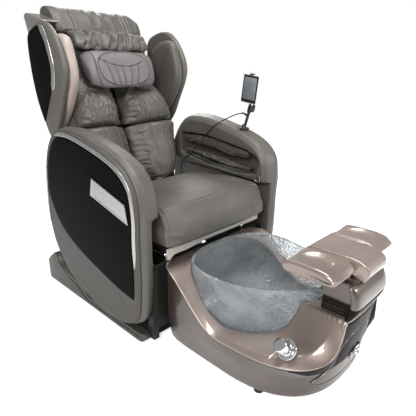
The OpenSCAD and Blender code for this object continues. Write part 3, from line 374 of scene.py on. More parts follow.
def swell(ob, seams, cap=0.010, pressure=4.0, shrink=0.003, reach=0.007):
    """Cloth simulation: the cover swells between its seams, which are held, and keeps the creases that this makes."""
    co, no = coords(ob), normals(ob)
    held = np.zeros(len(co))
    for line in seams:
        held = np.maximum(held, np.exp(-(near_line(co, line) / reach) ** 2))
    set_coords(ob, co - no * shrink)
    group = ob.vertex_groups.new(name="held")
    for i in np.nonzero(held > 0.05)[0]:
        group.add([int(i)], float(held[i]), "REPLACE")
    start = coords(ob)
    c = ob.modifiers.new("cloth", "CLOTH").settings
    c.quality, c.mass = 5, 0.3
    c.tension_stiffness = c.compression_stiffness = 12
    c.shear_stiffness, c.bending_stiffness = 6, 0.4
    c.vertex_group_mass = "held"
    c.use_pressure, c.uniform_pressure_force = True, pressure
    c.effector_weights.gravity = 0
    scene = bpy.context.scene
    for f in range(1, CLOTH_FRAMES + 1):
        scene.frame_set(f)
    apply_all(ob)
    scene.frame_set(1)
    ob.vertex_groups.clear()
    move = coords(ob) - start
    size = np.maximum(np.linalg.norm(move, axis=1), 1e-9)
    set_coords(ob, start + move * (cap * np.tanh(size / cap) / size)[:, None])
    return ob


# ---------------------------------------------------------------- materials
def principled(name, **values):
    mat = bpy.data.materials.new(name)
    mat.use_nodes = True
    tree = mat.node_tree
    bsdf = tree.nodes["Principled BSDF"]
    for key, value in values.items():
        bsdf.inputs[key.replace("_", " ")].default_value = value
    return mat, tree, bsdf


def node(tree, kind, **values):
    n = tree.nodes.new(kind)
    for key, value in values.items():
        if key in n.inputs:
            n.inputs[key].default_value = value
        else:
            setattr(n, key, value)
    return n


def coordinates(tree, scale=(1, 1, 1), rotation=(0, 0, 0)):
    tc = tree.nodes.new("ShaderNodeTexCoord")
    mp = node(tree, "ShaderNodeMapping")
    mp.inputs["Scale"].default_value = scale
    mp.inputs["Rotation"].default_value = rotation
    tree.links.new(tc.outputs["Object"], mp.inputs["Vector"])
    return mp.outputs["Vector"]


def ramp(tree, source, stops):
    r = tree.nodes.new("ShaderNodeValToRGB")
    e = r.color_ramp.elements
    while len(e) < len(stops):
        e.new(0.5)
    for k, (at, colour) in enumerate(stops):
        e[k].position = at
        e[k].color = (*colour, 1)
    tree.links.new(source, r.inputs["Fac"])
    return r.outputs["Color"]


def noise(tree, vec, scale, detail=3, rough=0.5):
    n = node(tree, "ShaderNodeTexNoise", Scale=scale, Detail=detail, Roughness=rough)
    tree.links.new(vec, n.inputs["Vector"])
    return n.outputs["Fac"]


def bump(tree, bsdf, height, strength, distance):
    b = node(tree, "ShaderNodeBump", Strength=strength, Distance=distance)
    tree.links.new(height, b.inputs["Height"])
    tree.links.new(b.outputs["Normal"], bsdf.inputs["Normal"])


def spread(tree, source, low, high):
    """Maps what runs from 0 to 1 on to another range."""
    r = node(tree, "ShaderNodeMapRange")
    r.inputs["To Min"].default_value, r.inputs["To Max"].default_value = low, high
    tree.links.new(source, r.inputs["Value"])
    return r.outputs["Result"]


def scaled_sum(tree, source, times, plus):
    """source * times + plus, where plus is a number or another output."""
    m = node(tree, "ShaderNodeMath", operation="MULTIPLY_ADD")
    tree.links.new(source, m.inputs[0])
    m.inputs[1].default_value = times
    if isinstance(plus, float):
        m.inputs[2].default_value = plus
    else:
        tree.links.new(plus, m.inputs[2])
    return m.outputs[0]


def dressed(tree, bsdf, colour, gloss):
    tree.links.new(colour, bsdf.inputs["Base Color"])
    tree.links.new(gloss, bsdf.inputs["Roughness"])


def cells(tree, vec, scale, feature="F1"):
    n = node(tree, "ShaderNodeTexVoronoi", Scale=scale)
    n.feature = feature
    tree.links.new(vec, n.inputs["Vector"])
    return n


WAVE_LENGTH = 0.31       # of a wave texture whose scale is 1


def bands(tree, vec, pitch, distortion, direction):
    """Waves at a pitch in metres."""
    n = node(tree, "ShaderNodeTexWave", Scale=WAVE_LENGTH / pitch, Distortion=distortion)
    n.bands_direction = direction
    tree.links.new(vec, n.inputs["Vector"])
    return n.outputs["Fac"]


def grain_group():
    """Shared leather effect: pebbled grain, soft creases and slow colour change."""
    g = bpy.data.node_groups.new("leather_grain", "ShaderNodeTree")
    for socket, way, kind in (("Dark", "INPUT", "Color"), ("Light", "INPUT", "Color"), ("Color", "OUTPUT", "Color"),
                              ("Height", "OUTPUT", "Float"), ("Roughness", "OUTPUT", "Float")):
        g.interface.new_socket(socket, in_out=way, socket_type="NodeSocket" + kind)
    gi, go = g.nodes.new("NodeGroupInput"), g.nodes.new("NodeGroupOutput")
    vec = coordinates(g)
    pebble = node(g, "ShaderNodeMapRange")
    pebble.inputs["From Max"].default_value = 0.25
    g.links.new(cells(g, vec, 620.0, "DISTANCE_TO_EDGE").outputs["Distance"], pebble.inputs["Value"])
    slow = noise(g, vec, 7.0, 4, 0.55)
    fine = noise(g, vec, 60.0, 3, 0.6)
    mix = node(g, "ShaderNodeMix", data_type="RGBA")
    g.links.new(scaled_sum(g, slow, 1.5, -0.25), mix.inputs["Factor"])
    g.links.new(gi.outputs["Dark"], mix.inputs["A"])
    g.links.new(gi.outputs["Light"], mix.inputs["B"])
    g.links.new(mix.outputs["Result"], go.inputs["Color"])
    g.links.new(scaled_sum(g, fine, 0.8, pebble.outputs["Result"]), go.inputs["Height"])
    g.links.new(spread(g, fine, 0.34, 0.52), go.inputs["Roughness"])
    return g


GRAIN = grain_group()


def leather(name, dark, light, strength=0.25, sheen=0.0):
    mat, tree, bsdf = principled(name, Sheen_Weight=sheen, Specular_IOR_Level=0.5)
    g = tree.nodes.new("ShaderNodeGroup")
    g.node_tree = GRAIN
    g.inputs["Dark"].default_value = (*dark, 1)
    g.inputs["Light"].default_value = (*light, 1)
    dressed(tree, bsdf, g.outputs["Color"], g.outputs["Roughness"])
    bump(tree, bsdf, g.outputs["Height"], strength, 0.0006)
    return mat


def moulded(name, dark, light, rough=(0.35, 0.5), metallic=0.0, coat=0.0, grain=0.15, shine=0.5):
    """Moulded or painted material: slow colour change, fine texture and slightly uneven gloss."""
    mat, tree, bsdf = principled(name, Metallic=metallic, Coat_Weight=coat, Coat_Roughness=0.06,
                                 Specular_IOR_Level=shine)
    vec = coordinates(tree)
    dressed(tree, bsdf, ramp(tree, noise(tree, vec, 9.0, 4), [(0.3, dark), (0.7, light)]),
            spread(tree, noise(tree, vec, 36.0, 3), *rough))
    bump(tree, bsdf, noise(tree, vec, 900.0, 2), grain, 0.0003)
    return mat


def metallic_gloss(name, dark, mid, light):
    """Pearl lacquer: fine flakes under a clear coat."""
    mat, tree, bsdf = principled(name, Metallic=0.55, Coat_Weight=1.0, Coat_Roughness=0.03)
    vec = coordinates(tree)
    flakes = cells(tree, vec, 1500.0).outputs["Distance"]
    shade = scaled_sum(tree, flakes, 0.35, noise(tree, vec, 3.0, 2))
    dressed(tree, bsdf, ramp(tree, shade, [(0.3, dark), (0.62, mid), (0.95, light)]), spread(tree, flakes, 0.3, 0.42))
    return mat


def lined(name, dark, light, pitch=0.0035):
    """Satin plastic with fine raised lines."""
    mat, tree, bsdf = principled(name, Specular_IOR_Level=0.45)
    vec = coordinates(tree, rotation=(math.radians(38), 0, 0))
    wave = bands(tree, vec, pitch, 0.0, "Z")
    dressed(tree, bsdf, ramp(tree, wave, [(0.2, dark), (0.8, light)]),
            spread(tree, noise(tree, vec, 30.0), 0.42, 0.55))
    bump(tree, bsdf, wave, 0.3, 0.0006)
    return mat


def steel(name, colour, rough=(0.05, 0.16), brushed=False):
    mat, tree, bsdf = principled(name, Metallic=1.0)
    vec = coordinates(tree, scale=(1, 1, 40) if brushed else (1, 1, 1))
    streak = noise(tree, vec, 40.0 if brushed else 12.0, 4)
    duller = tuple(c * 0.82 for c in colour)
    dressed(tree, bsdf, ramp(tree, streak, [(0.25, duller), (0.75, colour)]), spread(tree, streak, *rough))
    return mat


def woven(name, dark, light, pitch=0.0022):
    mat, tree, bsdf = principled(name, Sheen_Weight=0.3, Roughness=0.8)
    vec = coordinates(tree)
    m = node(tree, "ShaderNodeMath", operation="MULTIPLY")
    for k, direction in enumerate("YZ"):
        tree.links.new(bands(tree, vec, pitch, 0.3, direction), m.inputs[k])
    tree.links.new(ramp(tree, m.outputs[0], [(0.1, dark), (0.7, light)]), bsdf.inputs["Base Color"])
    bump(tree, bsdf, m.outputs[0], 0.5, 0.0006)
    return mat


def hammered(name):
    """Clear cast glass with a hammered face."""
    mat, tree, bsdf = principled(name, Transmission_Weight=0.88, IOR=1.33, Specular_IOR_Level=0.8)
    vec = coordinates(tree, scale=(1, 1, 1.4))
    warp = noise(tree, vec, 18.0, 2)
    dents = cells(tree, vec, 120.0, "SMOOTH_F1")
    dents.inputs["Smoothness"].default_value = 0.7
    dressed(tree, bsdf, ramp(tree, warp, [(0.35, (0.72, 0.77, 0.805)), (0.7, (0.94, 0.97, 0.99))]),
            spread(tree, warp, 0.04, 0.14))
    bump(tree, bsdf, scaled_sum(tree, warp, 0.8, dents.outputs["Distance"]), 1.0, 0.005)
    return mat


M = {name: maker(name, *values, **more) for name, maker, values, more in (
    ("taupe_leather", leather, ((0.062, 0.057, 0.049), (0.112, 0.103, 0.09)), {}),
    ("arm_leather", leather, ((0.075, 0.068, 0.059), (0.125, 0.115, 0.101), 0.18), {}),
    ("mauve_leather", leather, ((0.115, 0.102, 0.107), (0.17, 0.15, 0.158), 0.15, 0.1), {}),
    ("blush_leather", leather, ((0.33, 0.27, 0.235), (0.44, 0.365, 0.325), 0.15, 0.05), {}),
    ("skid_plastic", moulded, ((0.055, 0.05, 0.044), (0.09, 0.083, 0.073), (0.26, 0.36)), {"metallic": 0.25}),
    ("dark_steel", moulded, ((0.012, 0.012, 0.013), (0.022, 0.022, 0.024), (0.35, 0.5)), {"metallic": 0.2}),
    ("rubber", moulded, ((0.010, 0.010, 0.010), (0.018, 0.018, 0.018), (0.6, 0.8)), {}),
    ("bright_steel", steel, ((0.82, 0.83, 0.85),), {}),
    ("gloss_black", moulded, ((0.0018, 0.0017, 0.0018), (0.0034, 0.003, 0.003), (0.3, 0.4)),
     {"grain": 0.0, "shine": 0.02}),
    # painted reflection: a darker copy of the chrome, for the dark reflection in the sprayer's holder
    ("chrome_dark_reflection", steel, ((0.42, 0.42, 0.44), (0.06, 0.16)), {}),
    ("silver_trim", steel, ((0.56, 0.55, 0.55), (0.2, 0.34), True), {}),
    ("lined_taupe", lined, ((0.048, 0.044, 0.039), (0.085, 0.078, 0.07)), {}),
    # painted highlight: a bright copy of the bronze lacquer, for the lit line along the deck's edge
    ("bronze_highlight", metallic_gloss, ((0.30, 0.24, 0.21), (0.42, 0.35, 0.31), (0.6, 0.52, 0.47)), {}),
    # painted light: a lighter copy of the bronze lacquer, for the lit upward faces of the deck and the footrest
    ("bronze_lit_tops", metallic_gloss, ((0.14, 0.106, 0.09), (0.25, 0.195, 0.167), (0.44, 0.355, 0.31)), {}),
    ("taupe_gloss", metallic_gloss, ((0.15, 0.137, 0.123), (0.24, 0.22, 0.2), (0.38, 0.35, 0.32)), {}),
    # painted shade: the same bronze lacquer darker, on the tub's wall and the other side faces
    ("bronze_gloss", metallic_gloss, ((0.05, 0.037, 0.03), (0.088, 0.067, 0.056), (0.17, 0.134, 0.116)), {}),
    ("fascia_black", moulded, ((0.013, 0.0105, 0.0085), (0.022, 0.017, 0.0142), (0.22, 0.3)),
     {"grain": 0.02, "shine": 0.02}),
    ("hammered_glass", hammered, (), {}),
    ("dark_fabric", woven, ((0.05, 0.05, 0.052), (0.15, 0.15, 0.155)), {}),
    ("motor_grey", moulded, ((0.16, 0.16, 0.17), (0.24, 0.24, 0.25), (0.4, 0.55)), {"metallic": 0.7}),
    ("white_plastic", moulded, ((0.72, 0.73, 0.74), (0.82, 0.83, 0.84), (0.3, 0.42)), {}),
    ("screen_grey", moulded, ((0.16, 0.175, 0.19), (0.23, 0.245, 0.26), (0.12, 0.2)), {"coat": 0.5, "grain": 0.0}),
    ("black_plastic", moulded, ((0.012, 0.012, 0.012), (0.02, 0.02, 0.02), (0.3, 0.42)), {}),
    ("thread", moulded, ((0.22, 0.205, 0.185), (0.30, 0.28, 0.25), (0.6, 0.75)), {}),
    ("dark_thread", moulded, ((0.03, 0.027, 0.025), (0.05, 0.045, 0.04), (0.6, 0.75)), {}),
    ("piping", moulded, ((0.36, 0.34, 0.31), (0.5, 0.47, 0.43), (0.4, 0.55)), {}),
)}
SLOT_OF = {s["node"]: s["material_slot"] for s in frame["record"]["subparts"]}
for name, ob in NODES.items():
    ob.data.materials.clear()
    ob.data.materials.append(M[SLOT_OF[name]])


def piece(ob, body, slot, *stands_for, fill=None):
    """Hangs a finished piece on its body and hides what it stands for."""
    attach(ob, body)
    if stands_for:
        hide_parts(*stands_for)
    return ob


# ---------------------------------------------------------------- studio
def studio():
    cam = linked("camera", bpy.data.cameras.new("camera"))
    cam.data.lens, cam.data.sensor_width = 34.79, 36
    cam.location = (-1.0668, -1.0912, 0.9509)
    cam.rotation_euler = (math.radians(71.1), 0, math.radians(-45.7))
    scene = bpy.context.scene
    scene.camera = cam
    scene.view_settings.view_transform = "Standard"
    bm = bmesh.new()
    bmesh.ops.create_grid(bm, x_segments=2, y_segments=2, size=40)
    floor_mat, floor_tree, bsdf = principled("studio_floor", Roughness=0.6)
    bsdf.inputs["Base Color"].default_value = (0.88, 0.88, 0.88, 1)
    bsdf.inputs["Emission Color"].default_value = (1, 1, 1, 1)
    glow = node(floor_tree, "ShaderNodeMath", operation="MULTIPLY_ADD")
    floor_tree.links.new(floor_tree.nodes.new("ShaderNodeLightPath").outputs["Is Camera Ray"], glow.inputs[0])
    glow.inputs[1].default_value, glow.inputs[2].default_value = 0.5, 0.22
    floor_tree.links.new(glow.outputs[0], bsdf.inputs["Emission Strength"])
    finished("studio_floor", bm, floor_mat)
    world = bpy.data.worlds.new("studio")
    world.use_nodes = True
    tree = world.node_tree
    tree.nodes["Background"].inputs["Color"].default_value = (1, 1, 1, 1)
    tree.nodes["Background"].inputs["Strength"].default_value = 0.36
    seen = node(tree, "ShaderNodeBackground", Color=(1, 1, 1, 1), Strength=1.0)
    mix = tree.nodes.new("ShaderNodeMixShader")
    rays = tree.nodes.new("ShaderNodeLightPath")
    either = node(tree, "ShaderNodeMath", operation="MAXIMUM")
    tree.links.new(rays.outputs["Is Camera Ray"], either.inputs[0])
    tree.links.new(rays.outputs["Is Transmission Ray"], either.inputs[1])
    tree.links.new(either.outputs[0], mix.inputs["Fac"])
    tree.links.new(tree.nodes["Background"].outputs["Background"], mix.inputs[1])
    tree.links.new(seen.outputs["Background"], mix.inputs[2])
    tree.links.new(mix.outputs["Shader"], tree.nodes["World Output"].inputs["Surface"])
    scene.world = world
    for name, at, size, power in (("key", (-2.6, -1.6, 2.4), 1.1, 78), ("fill", (1.6, -3.0, 1.6), 0.9, 42),
                                  ("top", (0.1, -0.4, 3.2), 1.3, 66), ("rear", (1.8, 2.4, 2.4), 1.0, 40)):
        light = bpy.data.lights.new(name, "AREA")
        light.shape, light.size, light.energy = "SQUARE", size, power
        ob = linked(name, light)
        ob.location = at
        ob.rotation_euler = (Vector((0, 0, 0.5)) - Vector(at)).to_track_quat("-Z", "Y").to_euler()


# ---------------------------------------------------------------- remote's cable
CABLE_ROUTE = [[335, -198, 768], [335, -186, 772], [328, -156, 768], [312, -118, 750], [292, -76, 726], [277, -48, 702],
               [276, -22, 676], [276, 14, 638], [276, 62, 592], [276, 110, 556], [276, 150, 522], [277, 168, 480],
               [281, 166, 430], [285, 156, 370], [286, 150, 330], [286, 150, 308]]


def remote_cable():
    route = place(even(spline(CABLE_ROUTE, 12), 38))
    cu = bpy.data.curves.new("remote_cable", "CURVE")
    cu.dimensions = "3D"
    line = cu.splines.new("POLY")
    line.points.add(len(route) - 1)
    for p, q in zip(line.points, route):
        p.co = (*q, 1)
    cu.bevel_depth, cu.bevel_resolution, cu.use_fill_caps = CABLE_D / 2000, 4, True
    line.use_smooth = True
    cu.materials.append(M["rubber"])
    ob = linked("remote_cable_run", cu)
    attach(ob, "base")
    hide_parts("remote_cable")


# ---------------------------------------------------------------- arms
ARM_SHAPE = np.array([
    [0.006, 0.52], [0, 0.663], [0.032, 0.799], [0.16, 0.898], [0.41, 0.966], [0.656, 1], [0.818, 0.968], [0.941, 0.821],
    [0.995, 0.606], [1, 0.405], [0.934, 0.236], [0.749, 0.087], [0.518, 0.013], [0.256, 0.004], [0.071, 0.069],
    [0.017, 0.248]])
ARM_CURVE = even(spline(ARM_SHAPE * [ARM_LENGTH, ARM_HEIGHT] + [ARM_FRONT, ARM_LIFT], 30, True), 300, True)
PANEL_EDGE = spline([[262, 600], [250, 560], [236, 465], [195, 388], [132, 331], [29, 284], [-110, 244], [-237, 215],
                     [-330, 205]], 12)


def on_side(side, x, yz, frame_of=place):
    """A ring in the YZ plane at height x on one side: side 1 is the sitter's left, -1 the right."""
    return frame_of(np.column_stack([np.full(len(yz), side * x), yz]))


def ringed(name, side, steps, outline, mat, frame_of=place):
    """A slab through insets of one outline: each step is (x, inset)."""
    return skin(name, [on_side(side, x, inset(outline, d), frame_of) for x, d in steps], mat)


def domed(name, side, x, high, outline, mat, frame_of=place, edge=1.2):
    """A plate with eased edges and a slightly domed face."""
    mid = outline.mean(0)
    rings = [on_side(side, x, outline, frame_of), on_side(side, x + high * 0.5, outline, frame_of),
             on_side(side, x + high * 0.5 + edge * 0.4, inset(outline, edge * 0.4), frame_of)]
    for s in (0.97, 0.9, 0.8, 0.65, 0.45, 0.2):
        rings.append(on_side(side, x + high * (0.66 + 0.34 * (1 - s * s)), mid + (outline - mid) * s, frame_of))
    return skin(name, rings, mat)


def ribbon(name, side, x, high, path, width, mat, frame_of=place, groove=0.35):
    """A trim strip along an open path, tapered to nothing at both ends, with a fine groove along it."""
    path = np.asarray(path, float)
    t = np.gradient(path, axis=0)
    t /= np.linalg.norm(t, axis=1)[:, None]
    n = np.stack([-t[:, 1], t[:, 0]], -1)
    u = np.linspace(0, 1, len(path))
    w = width / 2 * np.clip(np.sin(np.pi * np.clip(u, 0.002, 0.998)) * 5, 0, 1) ** 0.7
    section = [(-1, 0), (-1, 0.45), (-0.82, 0.85), (-0.5, 1), (-0.1, 1 - groove * 0.3), (0.1, 0.95 - groove),
               (0.4, 0.8), (0.85, 0.7), (1, 0.4), (1, 0)]
    rings = [frame_of(np.array([[side * (x + high * h), *(p + across * half * a)] for a, h in section]))
             for p, across, half in zip(path, n, w)]
    return skin(name, rings, mat)


def run_of(ring, keep):
    """The one run of a closed curve's points that passes a test, in order."""
    first = [k for k in range(len(ring)) if keep[k] and not keep[k - 1]][0]
    return np.roll(ring, -first, 0)[:keep.sum()]


def cut_outline(ring, edge, u, v, n):
    """What a closed curve leaves beyond an edge line, which gives axis v over axis u, closed by that line."""
    edge = edge[np.argsort(edge[:, u])]
    run = run_of(ring, ring[:, v] > np.interp(ring[:, u], edge[:, u], edge[:, v]))
    lo, hi = sorted((run[0, u], run[-1, u]))
    between = edge[(edge[:, u] > lo + 2) & (edge[:, u] < hi - 2)]
    if abs(run[-1, u] - between[0, u]) > abs(run[-1, u] - between[-1, u]):
        between = between[::-1]
    return even(np.vstack([run, between]), n, True)


def slot_frame(name, side):
    """Bright rim of the small slot below the forearm pocket."""
    a = np.linspace(0, 2 * np.pi, 40, endpoint=False)
    ring = np.stack([-314 + 15 * power(np.cos(a), 0.45) - 3 * np.sin(a), 506 + 13 * power(np.sin(a), 0.55)], -1)
    return ringed(name, side, [(283, 0), (281, 0), (280, 1), (280, 3.4), (281.5, 4.2), (288, 4.6)], ring,
                  M["silver_trim"])


def arm_covers():
    shell = [(371, 13), (371.2, 11), (376, 12.4), (382, 14.6), (384.2, 16), (ARM_FACE, 18), (ARM_FACE, 40),
             (ARM_FACE, 90)]
    glass = cut_outline(inset(ARM_CURVE, ARM_RIM + 19), PANEL_EDGE, 0, 1, 260)
    front, rear = inset(ARM_CURVE, ARM_RIM + 9.5), inset(ARM_CURVE, ARM_RIM + 5)
    y, z = front.T
    front = run_of(front, (z > 250) & (z > 540 + (y + 300) * 0.41) | (y < -290) & (z > 330))
    rear = rear[(rear[:, 0] > 170) & (rear[:, 1] > 345) & (rear[:, 1] < 590)]
    silver = M["silver_trim"]
    for side, who in SIDES:
        ob = ringed(who + "_cover_shell", side, shell, ARM_CURVE, M["lined_taupe"])
        piece(ob, "base", "lined_taupe", who + "_arm_cover")
        ob = domed(who + "_panel_glass", side, ARM_FACE, 3.6, glass, M["gloss_black"])
        piece(ob, "base", "gloss_black", who + "_arm_panel")
        strips = [ribbon(who + "_front_strip", side, ARM_FACE, 4.2, front, 16, silver),
                  ribbon(who + "_rear_strip", side, ARM_FACE, 3.4, rear, 9, silver),
                  slot_frame(who + "_slot_rim", side)]
        piece(joined(who + "_trim_strips", strips), "base", "silver_trim", who + "_arm_trim")


def arm_plates():
    """Bare silver plates on the arms' outer faces, with a bright bevelled edge along the top and front."""
    corners = np.array([[-117, 602], [-306, 549], [-318, 482], [-99, 537]], float)
    plates = []
    for side in (1, -1):
        bm = bmesh.new()
        vs = [bm.verts.new(p) for p in on_side(side, 388, corners)]
        face = bm.faces.new(vs)
        bmesh.ops.recalc_face_normals(bm, faces=bm.faces)
        if face.normal.x * side < 0:
            bmesh.ops.reverse_faces(bm, faces=[face])
        top = bmesh.ops.extrude_face_region(bm, geom=[face])
        up = [v for v in top["geom"] if isinstance(v, bmesh.types.BMVert)]
        bmesh.ops.translate(bm, verts=up, vec=(side * 0.005, 0, 0))
        bevelled(bm, [e for e in bm.edges if all(v in up for v in e.verts)], 0.0022, 3)
        lid = [f for f in bm.faces if abs(f.normal.x) > 0.99 and f.calc_center_median().x * side > 0.39]
        bmesh.ops.inset_region(bm, faces=lid, thickness=0.007, depth=0)
        bmesh.ops.inset_region(bm, faces=lid, thickness=0.0008, depth=-0.0011)
        plates.append(finished("plate" + str(side), bm, M["silver_trim"], False))
    piece(joined("arm_plates_bevelled", plates), "base", "silver_trim", "arm_plates")


def arm_bodies():
    arc = inset(ARM_CURVE, 6)
    run = arc[(arc[:, 1] > 470) & (arc[:, 0] > -300)]
    run = run[np.argsort(np.arctan2(run[:, 1] - 400, -run[:, 0]))]
    for side, who in SIDES:
        ob = upholstered(who + "_arm_leather", who + "_arm_body", M["arm_leather"], 0.0045, 9)
        seam, up = nearest_on(ob, even(on_side(side, 291, run), 160))
        draw_in(ob, [seam], 0.0016, 0.0028, 0.0006)
        ripple(ob, (0.0007, 38, 2.0 + side))
        piece(ob, "base", "taupe_leather", who + "_arm_body", fill=0.9)
        sewn(who + "_arm_stitch_0", [(seam, up)], M["thread"], "base", "taupe_leather", long=0.005)


# ---------------------------------------------------------------- forearm pockets
def arm_pockets():
    """Air bags in wrinkled leather sleeves, with a strip of grey mesh under them."""
    for side, who in SIDES:
        ob = upholstered(who + "_pocket_sleeve", who + "_arm_bags", M["arm_leather"], 0.0035, 10)
        folds = []
        rng = np.random.default_rng(7 + side)
        for k in range(16):
            y0 = rng.uniform(-250, 120)
            z0 = rng.choice([540, 560, 575, 600, 612, 628])
            y = np.linspace(y0, y0 + rng.uniform(50, 150), 9)
            z = z0 + (y - y0) * rng.uniform(-0.2, 0.35) + 5 * np.sin(np.linspace(0, 4, 9) + k)
            folds.append(laid_on(ob, place(track(side * 284.0, y, z)), (side, 0, 0))[0])
        draw_in(ob, folds, 0.0032, 0.0042, 0.0022)
        ripple(ob, (0.0016, 75, 4.0 + side))
        piece(ob, "base", "dark_fabric", who + "_arm_bags", fill=0.5)
        u = np.linspace(0, 1, 60)
        y = lerp(-262, 150, u)
        z = np.interp(y, [-262, -190, -60, 150], [524, 520, 529, 560])
        rows = []
        for v in np.linspace(0, 1, 7):
            x = 292 + 16 * np.sin(v * np.pi / 2) - 5 * np.sin(np.pi * u)
            rows.append(place(track(side * x, y, z + 14 * (1 - v) - 5 + 3 * np.sin(7 * u + 3 * v))))
        piece(thin_sheet(who + "_pocket_mesh", rows, M["dark_fabric"], 0.0016), "base", "dark_fabric")


# ---------------------------------------------------------------- seat
def seat_cushion():
    ob = upholstered("seat_leather", "seat_cushion", M["taupe_leather"], 0.006, 7)
    down, back, low = (0, 0.35, -1), (0, 1, 0), (0, 0, -1)
    x = np.linspace(-256, 256, 90)
    guides = [(place(track(x, -333, 508)), down), (place(track(x, -374, 378)), back)]
    for s in (-1, 1):
        for pts, n, way in (
                ([[s * 254, -340, 506], [s * 256, -366, 484], [s * 256, -378, 440], [s * 255, -374, 384]], 50,
                 (0, 1, -0.2)),
                ([[s * 252, -333, 510], [s * 253, -180, 512], [s * 252, 30, 512]], 60, low),
                ([[s * 250, -205, 512], [s * 205, -235, 514], [s * 158, -290, 512], [s * 138, -333, 510]], 50, low)):
            guides.append((place(even(spline(pts, 10), n)), way))
    seams = [laid_on(ob, line, way)[0] for line, way in guides[:6]]
    ob = divided(swell(ob, seams, cap=0.008))
    laid = [laid_on(ob, line, way) for line, way in guides]
    draw_in(ob, [laid[k][0] for k in (0, 2, 3, 5, 6)], 0.0034, 0.0042, 0.0008)
    draw_in(ob, [laid[k][0] for k in (1, 4, 7)], 0.0016, 0.003, 0.0004)
    rng = np.random.default_rng(11)
    u = np.linspace(0, 1, 12)
    folds = []
    for s in (-1, 1):
        for k in range(4):
            x = s * (253 - (30 + 16 * k) * u)
            z = 408 + 22 * k + rng.uniform(-3, 3) - (6 + 3 * k) * u ** 2
            folds.append(laid_on(ob, place(track(x, -380, z)), back)[0])
    draw_in(ob, folds, 0.0012, 0.0085, 0.0006)
    ripple(ob, (0.0013, 17, 3.0), (0.0005, 61, 1.0))
    piece(ob, "seat", "taupe_leather", "seat_cushion", fill=0.85)
    laid[0] = (laid[0][0] - [0, 0.004, 0], laid[0][1])       # the crest's thread runs just before its seam
    for k in (0, 2, 5, 3, 6):
        sewn(f"seat_stitch_{k}", [laid[k]], M["thread"], "seat", "taupe_leather", 0.0075, 0.0048, 0.0011)


def seat_flap():
    """Pale edge of the lining that hangs below the seat's front, with a loose corner tab."""
    u = np.linspace(0, 1, 90)
    x = lerp(-258, 250, u)
    drop = 26 + 3 * np.sin(9 * u) - 10 * u + 16 * np.exp(-((u - 0.015) / 0.03) ** 2)
    rows = []
    for v in np.linspace(0, 1, 12):
        y = SEAT_FRONT + 33 + 2.2 * np.sin(16 * u + 2 * v) * v - 5 * v * np.exp(-((u - 0.02) / 0.05) ** 2)
        rows.append(place(track(x, y, PAN - 0.8 - drop * v)))
    ob = thin_sheet("seat_lining_flap", rows, M["piping"], 0.0026)
    piece(ob, "seat", "taupe_leather", "seat_flap", fill=0.1)


# ---------------------------------------------------------------- backrest
def lobe(name, cad, side, stitch_lines, fold_seed, upright_folds):
    """One half of a back cushion, with its sewn double lines, its gathers at the valley and its slack folds."""
    ob = cad_copy(name, cad, M["taupe_leather"], True)
    bm = bmesh.new()
    bm.from_mesh(ob.data)
    bmesh.ops.delete(bm, geom=[v for v in bm.verts if v.co.x * side < 0], context="VERTS")
    bm.to_mesh(ob.data)
    bm.free()
    evened(ob, 0.006, 6)
    guides = []
    for (x0, z0), (x1, z1) in stitch_lines:
        for off in (-4.5, 4.5):
            x = lerp(x0, x1, np.linspace(0, 1, 60)) + off
            guides.append(in_back(track(side * x, -110, np.linspace(z0, z1, 60))))
    seams = [laid_on(ob, g, AHEAD)[0] for g in guides]
    ob = divided(swell(ob, seams, cap=0.007, reach=0.006))
    laid = [laid_on(ob, g, AHEAD) for g in guides]
    draw_in(ob, [p for p, _ in laid], 0.0022, 0.0032, 0.0004)
    heights = [z for pair in stitch_lines for _, z in pair]
    low, high = min(heights), max(heights)
    rng = np.random.default_rng(fold_seed)
    u = np.linspace(0, 1, 10)
    folds = []
    for k in range(8):
        z = lerp(low + 14, high - 14, (k + rng.uniform(0, 0.9)) / 8)
        x = np.linspace(5, 5 + rng.uniform(22, 64), 10)
        folds.append(in_back(track(side * x, -90, z + rng.uniform(-26, 26) * u ** 1.6)))
        x = np.linspace(238, 238 - rng.uniform(15, 40), 10)
        folds.append(in_back(track(side * x, -70, z + 8 + rng.uniform(-14, 14) * u)))
    draw_in(ob, [laid_on(ob, f, AHEAD)[0] for f in folds], 0.0014, 0.0062, 0.0009)
    u = np.linspace(0, 1, 16)
    folds = []
    for k in range(upright_folds):
        x0, z0 = rng.uniform(20, 200), rng.uniform(low, high - 60)
        z = np.linspace(z0, min(high, z0 + rng.uniform(60, 170)), 16)
        x = x0 + 9 * np.sin(np.linspace(0, rng.uniform(2, 5), 16) + k) + rng.uniform(-25, 10) * u
        folds.append(in_back(track(side * x, -90, z)))
    draw_in(ob, [laid_on(ob, f, AHEAD)[0] for f in folds], 0.0021, 0.0046, 0.0013)
    ripple(ob, (0.0018, 24, fold_seed), (0.0008, 70, fold_seed + 1))
    piece(ob, "back", "taupe_leather", cad, fill=0.8)
    sewn(name + "_stitches", laid, M["thread"], "back", "taupe_leather")


def back_cushions():
    upper = [((86, 300), (74, 452)), ((152, 300), (132, 440))]
    lower = [((100, 40), (88, 288)), ((176, 60), (156, 288))]
    for side, who, seed, upright in ((1, "left", 3, 3), (-1, "right", 5, 15)):
        lobe(who + "_upper_lobe", "back_cushion", side, upper, seed, upright)
        lobe(who + "_lower_lobe", "lumbar_cushion", side, lower, seed + 20, upright // 3)


def back_gap_shade():
    """Dark sheet painted into the gap between the lumbar cushion's foot and the seat, as the shade there."""
    x = np.linspace(-236, 236, 60)
    rows = [in_back(track(x, 15 + 2 * np.sin(x / 21 + v), v)) for v in np.linspace(6, 84, 8)]
    piece(thin_sheet("back_gap_shade", rows, M["rubber"], 0.002), "back", "rubber")


